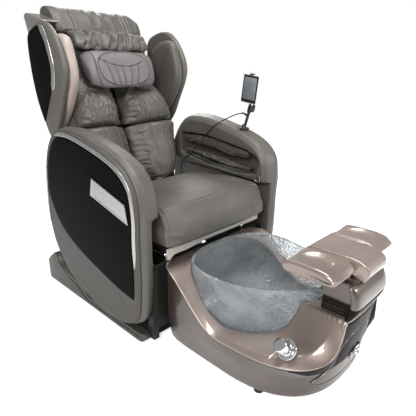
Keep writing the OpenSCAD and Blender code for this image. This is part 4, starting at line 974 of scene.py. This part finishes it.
# ---------------------------------------------------------------- head end
def head_hood():
    ob = upholstered("hood_leather", "head_hood", M["taupe_leather"], 0.0038, 6)
    q = back_frame_of(coords(ob))
    ear = np.clip((-q[:, 0] - 140) / 75, 0, 1) ** 2 * np.clip((q[:, 2] - 735) / 80, 0, 1)
    q[:, 2] += 17 * ear
    q[:, 0] -= 9 * ear
    q[:, 2] -= 12 * np.clip((q[:, 0] - 150) / 65, 0, 1) ** 2 * np.clip((q[:, 2] - 760) / 60, 0, 1)
    set_coords(ob, in_back(q))
    laid = []
    for x in (-132, 128):
        ring = spline([[x, -20, 720], [x, -40, 760], [x - 4, 0, 800], [x, 40, 840], [x, 90, 850], [x, 140, 800],
                       [x, 140, 720]], 12)
        laid.append(nearest_on(ob, in_back(even(ring, 90))))
    draw_in(ob, [p for p, _ in laid], 0.0034, 0.004, 0.0014)
    rng = np.random.default_rng(4)
    folds = []
    for k in range(5):
        x0 = rng.uniform(-190, 190)
        z = np.linspace(rng.uniform(722, 760), rng.uniform(780, 815), 10)
        x = x0 + rng.uniform(-26, 26) * np.linspace(0, 1, 10)
        folds.append(laid_on(ob, in_back(track(x, -20, z)), AHEAD)[0])
    draw_in(ob, folds, 0.0013, 0.013, 0.0012)
    gathers = []
    for k in range(9):
        x = lerp(-166, 166, (k + rng.uniform(0.05, 0.95)) / 9)
        x = x + 16 * np.sin(np.linspace(0, rng.uniform(1, 4), 12) + 2 * k)
        z = np.linspace(rng.uniform(614, 632), rng.uniform(672, 702), 12)
        gathers.append(laid_on(ob, in_back(track(x, -60, z)), AHEAD)[0])
    draw_in(ob, gathers, 0.0075, 0.0075, 0.0045)
    edge = laid_on(ob, in_back(track(np.linspace(-176, 176, 60), -60, 706)), AHEAD)[0]
    draw_in(ob, [edge], 0.004, 0.005, 0.0016)
    low = np.clip((715 - back_frame_of(coords(ob))[:, 2]) / 20, 0, 1)
    ripple(ob, (0.002, 21, 9.0), (0.0014 * low, 52, 5.0))
    piece(ob, "back", "taupe_leather", "head_hood", fill=0.5)
    sewn("hood_stitches", laid, M["thread"], "back", "taupe_leather")


def head_pillow():
    ob = upholstered("pillow_leather", "head_pillow", M["mauve_leather"], 0.004, 8)
    q = back_frame_of(coords(ob))
    fall = np.clip((600 - q[:, 2]) / 150, 0, 1)
    q[:, 0] = q[:, 0] * (1 - 0.1 * fall) + 10 * fall
    q[:, 1] += 26 * np.clip((-128 - q[:, 0]) / 45, 0, 1) * (q[:, 1] < -60)
    set_coords(ob, in_back(q))

    def drawn(points, n):
        x, z = even(spline(points, 10), n).T
        return in_back(track(x, -110, z))

    a = np.linspace(0, 2 * np.pi, 61)
    oval = in_back(track(9 + 129 * power(np.cos(a), 0.8), -110, 526 + 74 * power(np.sin(a), 0.8)))
    brow = [[-112, 568], [-70, 548], [-10, 535], [50, 536], [106, 556]]
    guides = [oval, drawn(brow, 60)]
    for top, low in ((-86, -58), (-45, -26), (-8, 2), (40, 32), (80, 64)):
        z = np.interp(top, *np.transpose(brow))
        guides.append(drawn([[top, z], [lerp(top, low, 0.5) + 2, lerp(z, 458, 0.5)], [low, 458]], 36))
    guides.append(drawn([[-138, 604], [-132, 560], [-130, 500], [-118, 456]], 50))
    seams = [laid_on(ob, g, AHEAD)[0] for g in guides]
    ob = divided(swell(ob, seams, cap=0.005, shrink=0.002, reach=0.005))
    laid = [laid_on(ob, g, AHEAD) for g in guides]
    draw_in(ob, [laid[k][0] for k in (0, 1, -1)], 0.0026, 0.003, 0.0005)
    draw_in(ob, [p for p, _ in laid[2:-1]], 0.0024, 0.0036, 0.0006)
    ripple(ob, (0.0008, 40, 2.0))
    piece(ob, "back", "mauve_leather", "head_pillow", fill=0.8)
    sewn("pillow_stitches", laid, M["dark_thread"], "back", "mauve_leather", 0.005, 0.0042, 0.0012)


# ---------------------------------------------------------------- wings beside the head
WING = even(spline([[-165, 532], [-140, 635], [-85, 703], [0, 722], [70, 703], [108, 600], [124, 480], [114, 380],
                    [85, 290], [5, 318], [-70, 390], [-140, 462]], 24, True), 240, True)
WING_EDGE = spline([[-39, 720], [-71, 644], [-75, 575], [-70, 524], [-30, 459], [29, 410], [110, 350]], 14)
PAD = even(spline([[-160, 556], [-150, 626], [-84, 656], [0, 640], [58, 566], [80, 470], [86, 390], [72, 332],
                   [38, 322], [-14, 352], [-80, 398], [-136, 452], [-158, 505]], 24, True), 220, True)


def wings():
    shell = [(WING_FACE, 17), (317.6, 14.5), (314, 6), (309, 1.2), (305, 0), (298, 1.6), (291, 6), (288.2, 10),
             (288, 14)]
    cushion = [(287.6, 15), (286.5, 10), (281, 3.5), (273, 0.4), (266, 0), (258, 2.5), (251, 7), (246.5, 13),
               (243.6, 22), (241.8, 36), (241.2, 55)]
    glass = cut_outline(inset(WING, 15), WING_EDGE, 1, 0, 220)
    arc = even(WING_EDGE[(WING_EDGE[:, 1] > 452) & (WING_EDGE[:, 1] < 700)] - [13.5, 0], 120)
    for side, who in SIDES:
        ob = ringed(who + "_wing_leather", side, shell, WING, M["arm_leather"], in_back)
        piece(ob, "back", "taupe_leather", who + "_wing_shell")
        ob = domed(who + "_wing_glass", side, WING_FACE, 4, glass, M["gloss_black"], in_back)
        piece(ob, "back", "gloss_black", who + "_wing_panel")
        ob = ribbon(who + "_wing_strip", side, WING_FACE, 4.6, arc, 29, M["silver_trim"], in_back, 0.12)
        piece(ob, "back", "silver_trim", who + "_wing_trim")
        finish = M["blush_leather" if side < 0 else "taupe_leather"]
        ob = ringed(who + "_wing_cushion", side, cushion, PAD, finish, in_back)
        ripple(ob, (0.001, 30, 6.0))
        seam, up = nearest_on(ob, on_side(side, 252, inset(PAD, 6.5), in_back))
        piece(ob, "back", "blush_leather", who + "_wing_pad", fill=0.7)
        sewn(who + "_wing_thread", [(seam, up)], M["thread"], "back", "blush_leather")


# ---------------------------------------------------------------- tub
# lower edge of the dark band painted under the tub's rim as its shade and dark reflection
SHADE_BAND_LOW = 107


def tub_at(t, out):
    s, c = np.sin(t), np.cos(t)
    e = np.where(s < 0, 2 / 2.7, 2 / 7)
    reach = np.where(s < 0, TUB_FRONT, TUB_BACK)
    return np.stack([(TUB_HALF + out) * power(c, e), TUB_MID + (reach + out) * power(s, e)], -1)


def rim_at(t, out):
    s = np.sin(t)
    flare = 30 * ease((-tub_at(t, 0)[:, 1] - 660) / 280)
    return tub_at(t, out + flare - np.where(s < 0, 6 * np.sin(2 * t) ** 2, 0))


def side_height(y):
    return lerp(DECK_LOW, DECK_HIGH, ease((y - TUB_MID) / 255))


def deck_height(p, rim):
    e = np.minimum(60, np.linalg.norm(p - rim, axis=-1) + 28)
    d = np.hypot(np.maximum(0, np.abs(p[:, 0]) - PED_HALF), np.maximum(0, p[:, 1] + 785))
    return lerp(side_height(p[:, 1]), PED_FOOT - 0.3, (e / (e + d)) ** 1.7)


def rim_height(t):
    r = rim_at(t, np.zeros_like(t))
    return deck_height(r, r)


def wall_top(t):
    return rim_height(t) - TUB_WALL - 1.3


def wall_at(t, z, out):
    """The wall at turn t and height z, which may differ from turn to turn."""
    low = tub_at(t, out - 8 * (1 - np.minimum(1, (z - TUB_FLOOR) / (TUB_BEND - TUB_FLOOR))))
    up = np.clip((z - TUB_BEND) / (wall_top(t) - TUB_BEND), 0, 1)[:, None]
    return np.column_stack([low * (1 - up) + rim_at(t, out - 2) * up, z])


def bowl_at(t, out):
    s, c = np.sin(t), np.cos(t)
    e = np.where(s < 0, 2 / 1.9, 2 / 2.5)
    reach = np.where(s < 0, BOWL_L - BOWL_BACK, BOWL_BACK)
    return np.stack([(BOWL_W / 2 + out) * power(c, e), BOWL_MID + (reach + out) * power(s, e)], -1)


BOWL_CENTRE = BOWL_MID - (BOWL_L - 2 * BOWL_BACK) / 2


def bowl_point(t, z, out):
    h = np.clip((BOWL_RIM - z) / (BOWL_RIM - BOWL_BOTTOM), 0, 1)
    share = (1 + 0.12 * h * (1 - h) - 0.55 * h**9)[:, None]
    p = bowl_at(t, out)
    return np.array([0, BOWL_CENTRE]) + (p - np.array([0, BOWL_CENTRE])) * share


def spaced_turns(n, outline):
    """Turns at equal spacing along an outline."""
    t = np.linspace(0, 2 * np.pi, 7201)
    d = np.r_[0, np.cumsum(np.linalg.norm(np.diff(outline(t, np.zeros_like(t)), axis=0), axis=1))]
    return np.interp(np.linspace(0, d[-1], n + 1)[:-1], d, t)


def deck_at(t, k, under=0.0):
    rim = rim_at(t, np.zeros_like(t))
    hole = bowl_point(t, lerp(side_height(rim[:, 1]), BOWL_RIM, 0.3), 4)
    p = lerp(rim, hole, k)
    return np.column_stack([p, np.minimum(deck_height(p, rim), BOWL_RIM - 9) - under])


def tube(name, pts, d, sides, mat, closed=True, swell_of=None):
    """A round bar along points, closed on itself or with closed ends, which may swell from point to point."""
    nxt = np.roll(pts, -1, 0) if closed else np.vstack([pts[1:], pts[-1:]])
    prv = np.roll(pts, 1, 0) if closed else np.vstack([pts[:1], pts[:-1]])
    t = nxt - prv
    t /= np.linalg.norm(t, axis=1)[:, None] + 1e-12
    a = np.linspace(0, 2 * math.pi, sides, endpoint=False)[:, None]
    rings = []
    for i in range(len(pts)):
        side = np.cross(t[i], (0.02, 0.03, 1.0))
        side /= np.linalg.norm(side)
        up = np.cross(side, t[i])
        r = d / 2 * (swell_of[i] if swell_of is not None else 1)
        rings.append(pts[i] + r * (np.cos(a) * side + np.sin(a) * up))
    return skin(name, rings, mat, caps=not closed, wrapped=closed)


def tub():
    t = spaced_turns(260, rim_at)
    top = wall_top(t)

    def wall(z, out=0.0):
        return wall_at(t, z + 0 * t, out)

    rings = [wall(TUB_FLOOR, -9), wall(TUB_FLOOR, -3), wall(TUB_FLOOR + 1, -0.8)]
    rings += [wall(z) for z in (26, 45, 70, 92, TUB_BEND)]
    rings += [wall(lerp(TUB_BEND, top, u)) for u in (0.1, 0.25, 0.4, 0.55, 0.7, 0.85, 0.96, 1.0)]
    rings += [wall(lerp(TUB_BEND, top, u), -TUB_WALL) for u in (0.98, 0.6, 0.2, 0)]
    rings += [wall(z, -TUB_WALL) for z in (40, 30)]
    # the wall takes the darker copy of the bronze: painted shade on the side faces
    piece(skin("tub_wall", place(rings), M["bronze_gloss"]), "base", "bronze_gloss", "tub_shell")
    lip = ((0.004, TUB_WALL), (0, TUB_WALL - 1), (0, 2.2), (0.0015, 0.7), (0.008, 0))
    rings = [deck_at(t, k, under) for k, under in lip]
    rings += [deck_at(t, k) for k in np.linspace(0.03, 1, 34)]
    rings += [deck_at(t, k, TUB_WALL) for k in np.linspace(1, 0.03, 12)]
    # the deck takes the lighter copy of the bronze: painted light on its upward faces
    ob = skin("tub_deck_cast", place(rings), M["bronze_lit_tops"], caps=False, wrapped=True)
    piece(ob, "base", "bronze_gloss", "tub_deck")
    # a dark rubber line just under the rim: painted shade below the rim's edge
    line = wall_at(t, rim_height(t) - TUB_WALL - 1.2, 0.4)
    piece(tube("tub_rim_shade_line", place(line), 0.0036, 6, M["rubber"]), "base", "rubber")
    # a bright bead along the deck's edge: a painted highlight on the rim
    edge = deck_at(t, 0, 2.4)
    edge[:, :2] = rim_at(t, 0.4)
    piece(tube("deck_edge_highlight", place(edge), 0.0034, 8, M["bronze_highlight"]), "base", "bronze_gloss")


def door_edges(u):
    low = 60 + 12 * u**6
    return low, low + 4 + (8 + 140 / (1 + (u / 0.49) ** 4)) * (1 - u**14)


def wall_sheet(name, turns, low, high, out, finish, *stands_for):
    """A thin sheet on the tub's wall between two heights, a little proud in its middle."""
    t = np.radians(turns)
    rows = [place(wall_at(t, lerp(low, high, v), out + 1.6 * math.sin(math.pi * v) ** 0.35))
            for v in np.linspace(0, 1, 22)]
    piece(thin_sheet(name, rows, M[finish], 0.0012), "base", finish, *stands_for)


def rim_shade_band():
    """Dark band painted round the tub's front under the flared rim, as painted shade and dark reflection there, and the
    access door that crosses its lower edge, whose part inside the band is painted dark the same way.
    """
    start, stop, taper = 221, 319, 17        # degrees round the tub
    turns = np.linspace(start, stop, 260)
    top = rim_height(np.radians(turns)) - 11
    grow = ease(np.minimum(turns - start, stop - turns) / taper)
    wall_sheet("tub_rim_shade_band", turns, top, lerp(top - 3, SHADE_BAND_LOW, grow), 0.2, "fascia_black")
    front, door_half = 270, 31
    turns = np.linspace(front - door_half, front + door_half, 160)
    low, high = door_edges(np.abs(turns - front) / door_half)
    wall_sheet("access_door_foot", turns, low, np.minimum(high, SHADE_BAND_LOW), 1.4, "bronze_gloss", "access_door")
    wide = high > SHADE_BAND_LOW + 1
    # the door's part inside the band: painted shade
    wall_sheet("access_door_shaded_head", turns[wide], SHADE_BAND_LOW, high[wide], 1.4, "fascia_black")
    # a bright line on the door's upper edge is a painted highlight, a dark line on its lower edge painted shade
    for name, z, thick, finish in (("access_door_highlight_line", high, 0.0015, "silver_trim"),
                                   ("access_door_shade_line", low, 0.002, "rubber")):
        run = place(even(wall_at(np.radians(turns), z, 2.4), 260))
        piece(tube(name, run, thick, 6, M[finish], False), "base", finish)


def pedestal_ring(z, pull=0.0):
    """The pedestal's outline: a narrow core behind, and a wider shell round the front."""
    u = (PED_TOP - z) / (PED_TOP - PED_FOOT)
    front, lip, core = PED_FRONT + 20 * (2 * u - 1) ** 2 + pull, -931 - 12 * math.sin(math.pi * u) ** 0.8, 83 - pull
    a = np.radians(np.linspace(180, 360, 61))
    reach = lip - 4 - front
    face = np.column_stack([(PED_HALF - pull) * power(np.cos(a), 0.22), lip - 4 - reach * np.abs(np.sin(a)) ** 0.8])
    loop = np.vstack([[core, PED_BACK - pull], [-core, PED_BACK - pull], [-core, lip + 4],
                      [-PED_HALF + pull + 4, lip], face, [PED_HALF - pull - 4, lip], [core, lip + 4]])
    return np.column_stack([even(loop, 220, True), np.full(220, z)])


def pedestal():
    head = [(388, 6), (387.4, 3), (385.6, 1), (382, 0)] + [(z, 0) for z in np.linspace(376, 326, 12)]
    foot = [(319.4, 1.8), (318.8, 0.6)] + [(z, 0) for z in np.linspace(317, 284, 9)]
    for name, steps, finish, stands_for in (
            ("pedestal_head", head + [(324.4, 0.6), (323.8, 1.8)], "bronze_gloss", ["pedestal"]),
            ("pedestal_groove", [(324, 2.6), (319, 2.6)], "rubber", []),
            ("pedestal_foot", foot + [(281.4, 0)], "fascia_black", [])):
        ob = skin(name, [place(pedestal_ring(z, pull)) for z, pull in steps], M[finish])
        piece(sharp(ob, 35), "base", finish, *stands_for)
    slots = []
    for side in (-1, 1):
        for z in (289, 299):
            run = place(track(side * 83.2, np.linspace(-858, -922, 12), z))
            slots.append(tube("slot", run, 0.0046, 8, M["rubber"], False))
    piece(joined("pedestal_slots", slots), "base", "rubber")


# ---------------------------------------------------------------- foot bowl
def rim_wave(t):
    return 5 * np.sin(5 * t + np.radians(20)) * (0.5 - 0.5 * np.sin(t)) + 14 * np.maximum(0, -np.sin(t)) ** 14


def hammer(co, deep):
    """Cells of a hammered face, as waves crossing at uneven spacing."""
    p = co * 1000
    warp = 4 * np.sin(p[:, 2] / 17 + p[:, 0] / 23) + 3 * np.sin(p[:, 1] / 13)
    girth = 190          # millimetres of wall to a radian
    a = np.arctan2(p[:, 1] - (BOWL_CENTRE + SHIFT), p[:, 0]) * girth
    v = np.sin((a + warp) / 2.9) * np.sin((p[:, 2] + warp * 0.8) / 2.6 + 0.9 * np.sin(a / 9))
    return deep * (v + 0.6 * np.sin((a * 0.7 + p[:, 2] * 1.1) / 3.3))


def foot_bowl():
    n = 420
    t = spaced_turns(n, bowl_at)

    def ring(h, low, out):
        """The wall at a share h of the bowl's height; its upper quarter follows the wavy rim."""
        z = max(lerp(BOWL_BOTTOM, BOWL_RIM, h), low) + 0 * t
        return np.column_stack([bowl_point(t, z, out), z + max(0, (h - 0.75) / 0.25) ** 1.5 * rim_wave(t)])

    def hub(z):
        return track(25 * np.cos(t), BOWL_CENTRE + 25 * np.sin(t), z)

    inside = BOWL_BOTTOM + GLASS
    heights = np.linspace(0, 1, 44)[1:]
    outer = [ring(h, BOWL_BOTTOM, 0) for h in heights]
    inner = [ring(h, inside + 90 * h * 0.2, -GLASS) for h in heights[::-1]]
    lip = [np.column_stack([bowl_point(t, BOWL_RIM + 0 * t, -k), BOWL_RIM + rim_wave(t) + 1.6]) for k in (1.6, 4, 6.4)]
    rings = place([hub(BOWL_BOTTOM)] + outer + lip + inner + [hub(inside)])
    ob = skin("bowl_glass", rings, M["hammered_glass"], caps=False, wrapped=True)
    co, no = coords(ob), normals(ob)
    calm = np.clip((co[:, 2] * 1000 - BOWL_BOTTOM - 14) / 20, 0, 1)
    set_coords(ob, co + no * (hammer(co, 0.0011) * calm)[:, None])
    piece(ob, "base", "hammered_glass", "foot_bowl")
    m, beads = 960, 150
    t = np.interp(np.linspace(0, n, m + 1)[:-1], np.arange(n + 1), np.r_[t, 2 * np.pi])
    line = np.column_stack([bowl_point(t, BOWL_RIM + 0 * t, -1.2), BOWL_RIM + rim_wave(t) + 1.4])
    swell_of = 1 + 0.3 * np.sin(np.arange(m) * 2 * np.pi * beads / m)
    ob = tube("bowl_beaded_rim", place(line), 0.0076, 8, M["hammered_glass"], True, swell_of)
    piece(ob, "base", "hammered_glass")


# ---------------------------------------------------------------- footrest
def footrest():
    xs = FOOT_HALF * np.sin(np.linspace(-np.pi / 2, np.pi / 2, 300) * 0.9999)
    front0, r = FOOT_BACK - FOOT_DEPTH, 11
    rings = []
    for x in xs:
        a = abs(x)
        nose = ease((66 - a) / 8)
        end = r - math.sqrt(max(0, r * r - max(0, a - FOOT_HALF + r) ** 2))
        gap = 12 * math.exp(-((a - 68) / 3.4) ** 2) + 5 * math.exp(-((a - 74) / 1.6) ** 2)
        sag = 5 * math.sin(math.pi * min(1, max(0, (a - 80) / (FOOT_HALF - 80)))) ** 1.5
        top, low = FOOT_TOP - gap - sag - end, FOOT_LOW - 3 + 0.8 * end
        front, back = front0 - 34 * nose + end + gap, FOOT_BACK - end - 0.4 * gap
        mid = (front + back) / 2
        pts = [[front + 18, low - 22 * nose], [front + 44, low - 2 * nose], [mid, low], [back - 18, low],
               [back - 5, low + 5], [back, lerp(low, top, 0.5)], [back - 7, top - 8], [back - 26, top - 1], [mid, top],
               [front + 52, top - 1], [front + 22, top - 7], [front + 5, top - 19],
               [front, lerp(low, top, 0.3) - 8 * nose], [front + 7, low + 3 - 18 * nose]]
        rings.append(even(spline(track(x, *np.transpose(pts)), 10, True), 150, True))
    rings = np.array(rings)
    x, y, z = np.moveaxis(rings, -1, 0)
    for cx, rx in ((-132, 44), (132, 44), (0, 40)):
        r = np.hypot((x - cx) / rx, (y - FOOT_BACK + 78) / 52)
        z -= 8.5 * np.clip(1 - r**3.2, 0, 1) * (z > FOOT_TOP - 26) * (1 if cx else 0.35)
    # the footrest takes the lighter copy of the bronze: painted light on it
    cast = skin("footrest_cast", place(rings), M["bronze_lit_tops"])
    at, way, steel = [0, -868, 406], (1, 0, 0), M["bright_steel"]
    pin = turned("footrest_pin", [(0, -54), (4, -54), (5, -53), (5, 53), (4, 54), (0, 54)], at, way, steel, 28)
    sleeve = [(5.2, -40), (11.6, -40), (12, -39.4), (12, 39.4), (11.6, 40), (5.2, 40), (5.2, -40)]
    knuckle = turned("footrest_knuckle", sleeve, at, way, steel, 40)
    piece(joined("footrest_hinge", [pin, knuckle]), "footrest", "bright_steel")
    piece(cast, "footrest", "bronze_gloss", "footrest_pads")
    # dark rubber tubes laid in the grooves between the pads: painted shade in the grooves
    grooves = []
    for s in (-1, 1):
        run = rings[np.argmin(np.abs(xs - s * 69))]
        run = np.roll(run, -np.argmax(run[:, 1]), 0)
        run = run[: np.argmin(run[:, 1]) + 6]
        grooves.append(tube("groove", place(even(run, 120)), 0.0046, 8, M["rubber"], False))
    piece(joined("footrest_groove_shade", grooves), "footrest", "rubber")


# ---------------------------------------------------------------- turned fittings
def turned(name, profile, origin, axis, mat, sides=56):
    """A piece spun on a lathe: profile is (radius, height along the axis), in millimetres."""
    bm = bmesh.new()
    vs = [bm.verts.new((r / 1000, 0, h / 1000)) for r, h in profile]
    edges = [bm.edges.new(pair) for pair in zip(vs[:-1], vs[1:])]
    bmesh.ops.spin(bm, geom=vs + edges, cent=(0, 0, 0), axis=(0, 0, 1), angle=2 * math.pi, steps=sides, use_merge=True)
    bmesh.ops.remove_doubles(bm, verts=bm.verts, dist=1e-6)
    turn = Vector((0, 0, 1)).rotation_difference(Vector(axis).normalized()).to_matrix().to_4x4()
    bmesh.ops.transform(bm, verts=bm.verts, matrix=Matrix.Translation(Vector(place(origin))) @ turn)
    return sharp(finished(name, bm, mat), 38)


def along(origin, axis, d):
    return np.array(origin, float) + np.array(Vector(axis).normalized()) * d


def mixer():
    axis = np.array([-0.70, 0.21, 0.68])
    seat = deck_at(np.radians(np.array([228.0])), 0.35)[0] + 25 * axis
    chrome = M["bright_steel"]
    rosette = [(0, -34), (14, -34), (14, -2), (31, -1), (31.5, 1.5), (30.6, 4), (27, 5.4), (21, 5.8), (20, 11),
               (18, 12), (0, 12)]
    piece(turned("mixer_collar", rosette, seat, axis, chrome), "base", "bright_steel", "mixer_plate")
    cap = [(0, 12.4), (19, 12.4), (21, 13.4), (21.3, 15), (21.3, 40), (21, 43.5), (19.4, 45.6), (17, 46.2), (0, 46.8)]
    knob = turned("mixer_knob", cap, seat, axis, chrome)
    stand = (Matrix.Rotation(math.atan2(axis[1], axis[0]), 3, "Z")
             @ Matrix.Rotation(math.acos(axis[2] / np.linalg.norm(axis)), 3, "Y"))
    point = math.radians(-12)
    rod_axis = stand @ Vector((math.cos(point), math.sin(point), 0))
    rod = turned("mixer_rod", [(0, 17), (2.9, 17), (2.7, 44), (3.4, 46), (3.5, 49), (2.8, 50.6), (0, 51)],
                 along(seat, axis, 34), rod_axis, chrome, 20)
    piece(joined("mixer_handle", [knob, rod]), "mixer", "bright_steel", "mixer_lever")


def sprayer():
    height, bore = 108.0, 13
    front = wall_at(np.radians(np.array([270.0])), np.array([height]), 0)[0, 1]
    at = np.array([24, front, height])
    p, tilt = math.radians(9), math.radians(14)
    out = np.array([0, -math.cos(p), -math.sin(p)])
    chrome = M["bright_steel"]
    a = np.linspace(0, 2 * np.pi, 72, endpoint=False)
    rings = []
    for d, grow in ((-1, 6), (1.2, 7.2), (3.4, 7), (4.8, 5.6), (5.4, 3.4), (4.6, 1.6), (2.4, 0.6), (-3, 0.4)):
        x, z = (bore + grow + 15) * power(np.cos(a), 0.9), (bore + grow - 1) * power(np.sin(a), 0.9)
        if d < 5 and grow < 3.5:
            inner = bore + 0.4 + max(0, grow - 1)
            x, z = inner * np.cos(a), inner * np.sin(a)
        x, z = x * math.cos(tilt) - z * math.sin(tilt), x * math.sin(tilt) + z * math.cos(tilt)
        y = -d * math.cos(p)
        ring = track(x, y * math.cos(p) - z * math.sin(p), y * math.sin(p) + z * math.cos(p))
        rings.append(place(ring + at + 3.4 * out))
    # the holder takes the darker copy of the chrome: a painted dark reflection
    bezel = skin("sprayer_bezel", rings, M["chrome_dark_reflection"])
    sleeve = [(13.2, -1), (17, -1), (17, -58), (0, -58), (0, -56), (13.2, -54), (13.2, -1)]
    holder = joined("sprayer_holder", [bezel, turned("sprayer_sleeve", sleeve, at, out, chrome, 40)])
    piece(holder, "base", "bright_steel", "sprayer_socket")
    head = [(0, -46), (12.8, -46), (12.8, 8), (13, 9.5), (12.2, 13), (10.2, 16), (8.8, 16.8), (8, 15.6), (0, 15.2)]
    piece(turned("sprayer_head", head, at, out, chrome, 48), "hand_sprayer", "bright_steel", "sprayer")
    holes = [turned("nozzle_face", [(0, 15), (8.6, 15), (8.6, 15.4), (0, 15.5)], at, out, M["rubber"], 32)]
    for w in np.arange(12) * 2 * math.pi / 12:
        hole = at + 5.4 * np.array([math.cos(w), 0, math.sin(w)])
        holes.append(turned("nozzle", [(0, 15), (0.8, 15), (0.7, 15.8), (0, 15.9)], hole, out, M["rubber"], 8))
    piece(joined("sprayer_nozzles", holes), "hand_sprayer", "rubber")


# ---------------------------------------------------------------- remote
def remote():
    case = eased_edges("remote_shell", "remote_case", M["white_plastic"], 0.0038, 4)
    piece(case, "remote", "white_plastic", "remote_case")
    lean = math.radians(8)
    half = 7.5               # of the case's thickness
    black = M["black_plastic"]
    for name, x0, x1, half_y, half_z, up, mat, finish, stands_for in (
            ("remote_bezel", -half - 1.2, -half + 0.6, 39.5, 56, 0, black, "black_plastic", []),
            ("remote_display", -half - 1.9, -half - 0.8, 33, 45, 2, M["screen_grey"], "screen_grey", ["remote_screen"]),
            ("remote_clip", -half - 1, half - 2, 9, 3, 59.5, black, "black_plastic", [])):
        bm = bmesh.new()
        bmesh.ops.create_cube(bm, size=1.0)
        bmesh.ops.scale(bm, verts=bm.verts, vec=(abs(x1 - x0) / 1000, 2 * half_y / 1000, 2 * half_z / 1000))
        bevelled(bm, [e for e in bm.edges if abs((e.verts[0].co - e.verts[1].co).normalized().x) > 0.9], 0.005, 5)
        bevelled(bm, [e for e in bm.edges if e.calc_face_angle(0) > 0.9], 0.0009, 2)
        mid = Vector(place([330, -226, 876.0]))
        shift = Matrix.Translation(mid) @ Matrix.Rotation(lean, 4, "X") @ Matrix.Translation(
            Vector(((x0 + x1) / 2000, 0, up / 1000)))
        bmesh.ops.transform(bm, verts=bm.verts, matrix=shift)
        piece(sharp(finished(name, bm, mat), 40), "remote", finish, *stands_for)


def remote_stand():
    black = M["black_plastic"]
    piece(eased_edges("remote_pole", "remote_post", black, 0.0012, 2), "base", "black_plastic", "remote_post")
    foot = [(0, 4), (24, 4.4), (25, 5.6), (24, 7.4), (14, 10.5), (10, 15), (8.6, 24), (0, 24)]
    piece(turned("remote_pole_foot", foot, [335, -189, 701], (0, 0, 1), black), "base", "black_plastic")
    lean = math.radians(19)
    relief = [(0, -3), (4.6, -3), (4.8, 0), (3.9, 8), (3.3, 15), (3.2, 22), (2.6, 23), (0, 23)]
    out = (0, math.cos(lean), math.sin(lean))
    piece(turned("cable_relief", relief, [335, -199, 767.6], out, M["rubber"], 24), "base", "rubber")


# ---------------------------------------------------------------- hard parts taken over from the solids
def base_parts():
    piece(eased_edges("skid_moulding", "base_skid", M["skid_plastic"], 0.004, 3), "base", "skid_plastic", "base_skid")
    kick = eased_edges("kick_panel_moulding", "kick_panel", M["black_plastic"], 0.002, 2)
    piece(kick, "base", "black_plastic", "kick_panel")
    pedestal()
    piece(upholstered("back_casing", "back_shell", M["taupe_gloss"], 0.004, 8), "back", "bronze_gloss", "back_shell")
    for side, who in SIDES[::-1]:
        x = side * 356
        run = spline([[x, -290, 27], [x, 60, 26], [x, 150, 60], [x, 240, 84], [x, 320, 128]], 20)
        piece(tube(f"skid_line_{who}", place(run), 0.0024, 8, M["dark_steel"], False), "base", "skid_plastic")


for make in (studio, remote_cable, arm_covers, arm_plates, arm_bodies, arm_pockets, seat_cushion, seat_flap,
             back_cushions, back_gap_shade, head_hood, head_pillow, wings, tub, rim_shade_band, foot_bowl, footrest, mixer,
             sprayer, remote, remote_stand, base_parts):
    make()
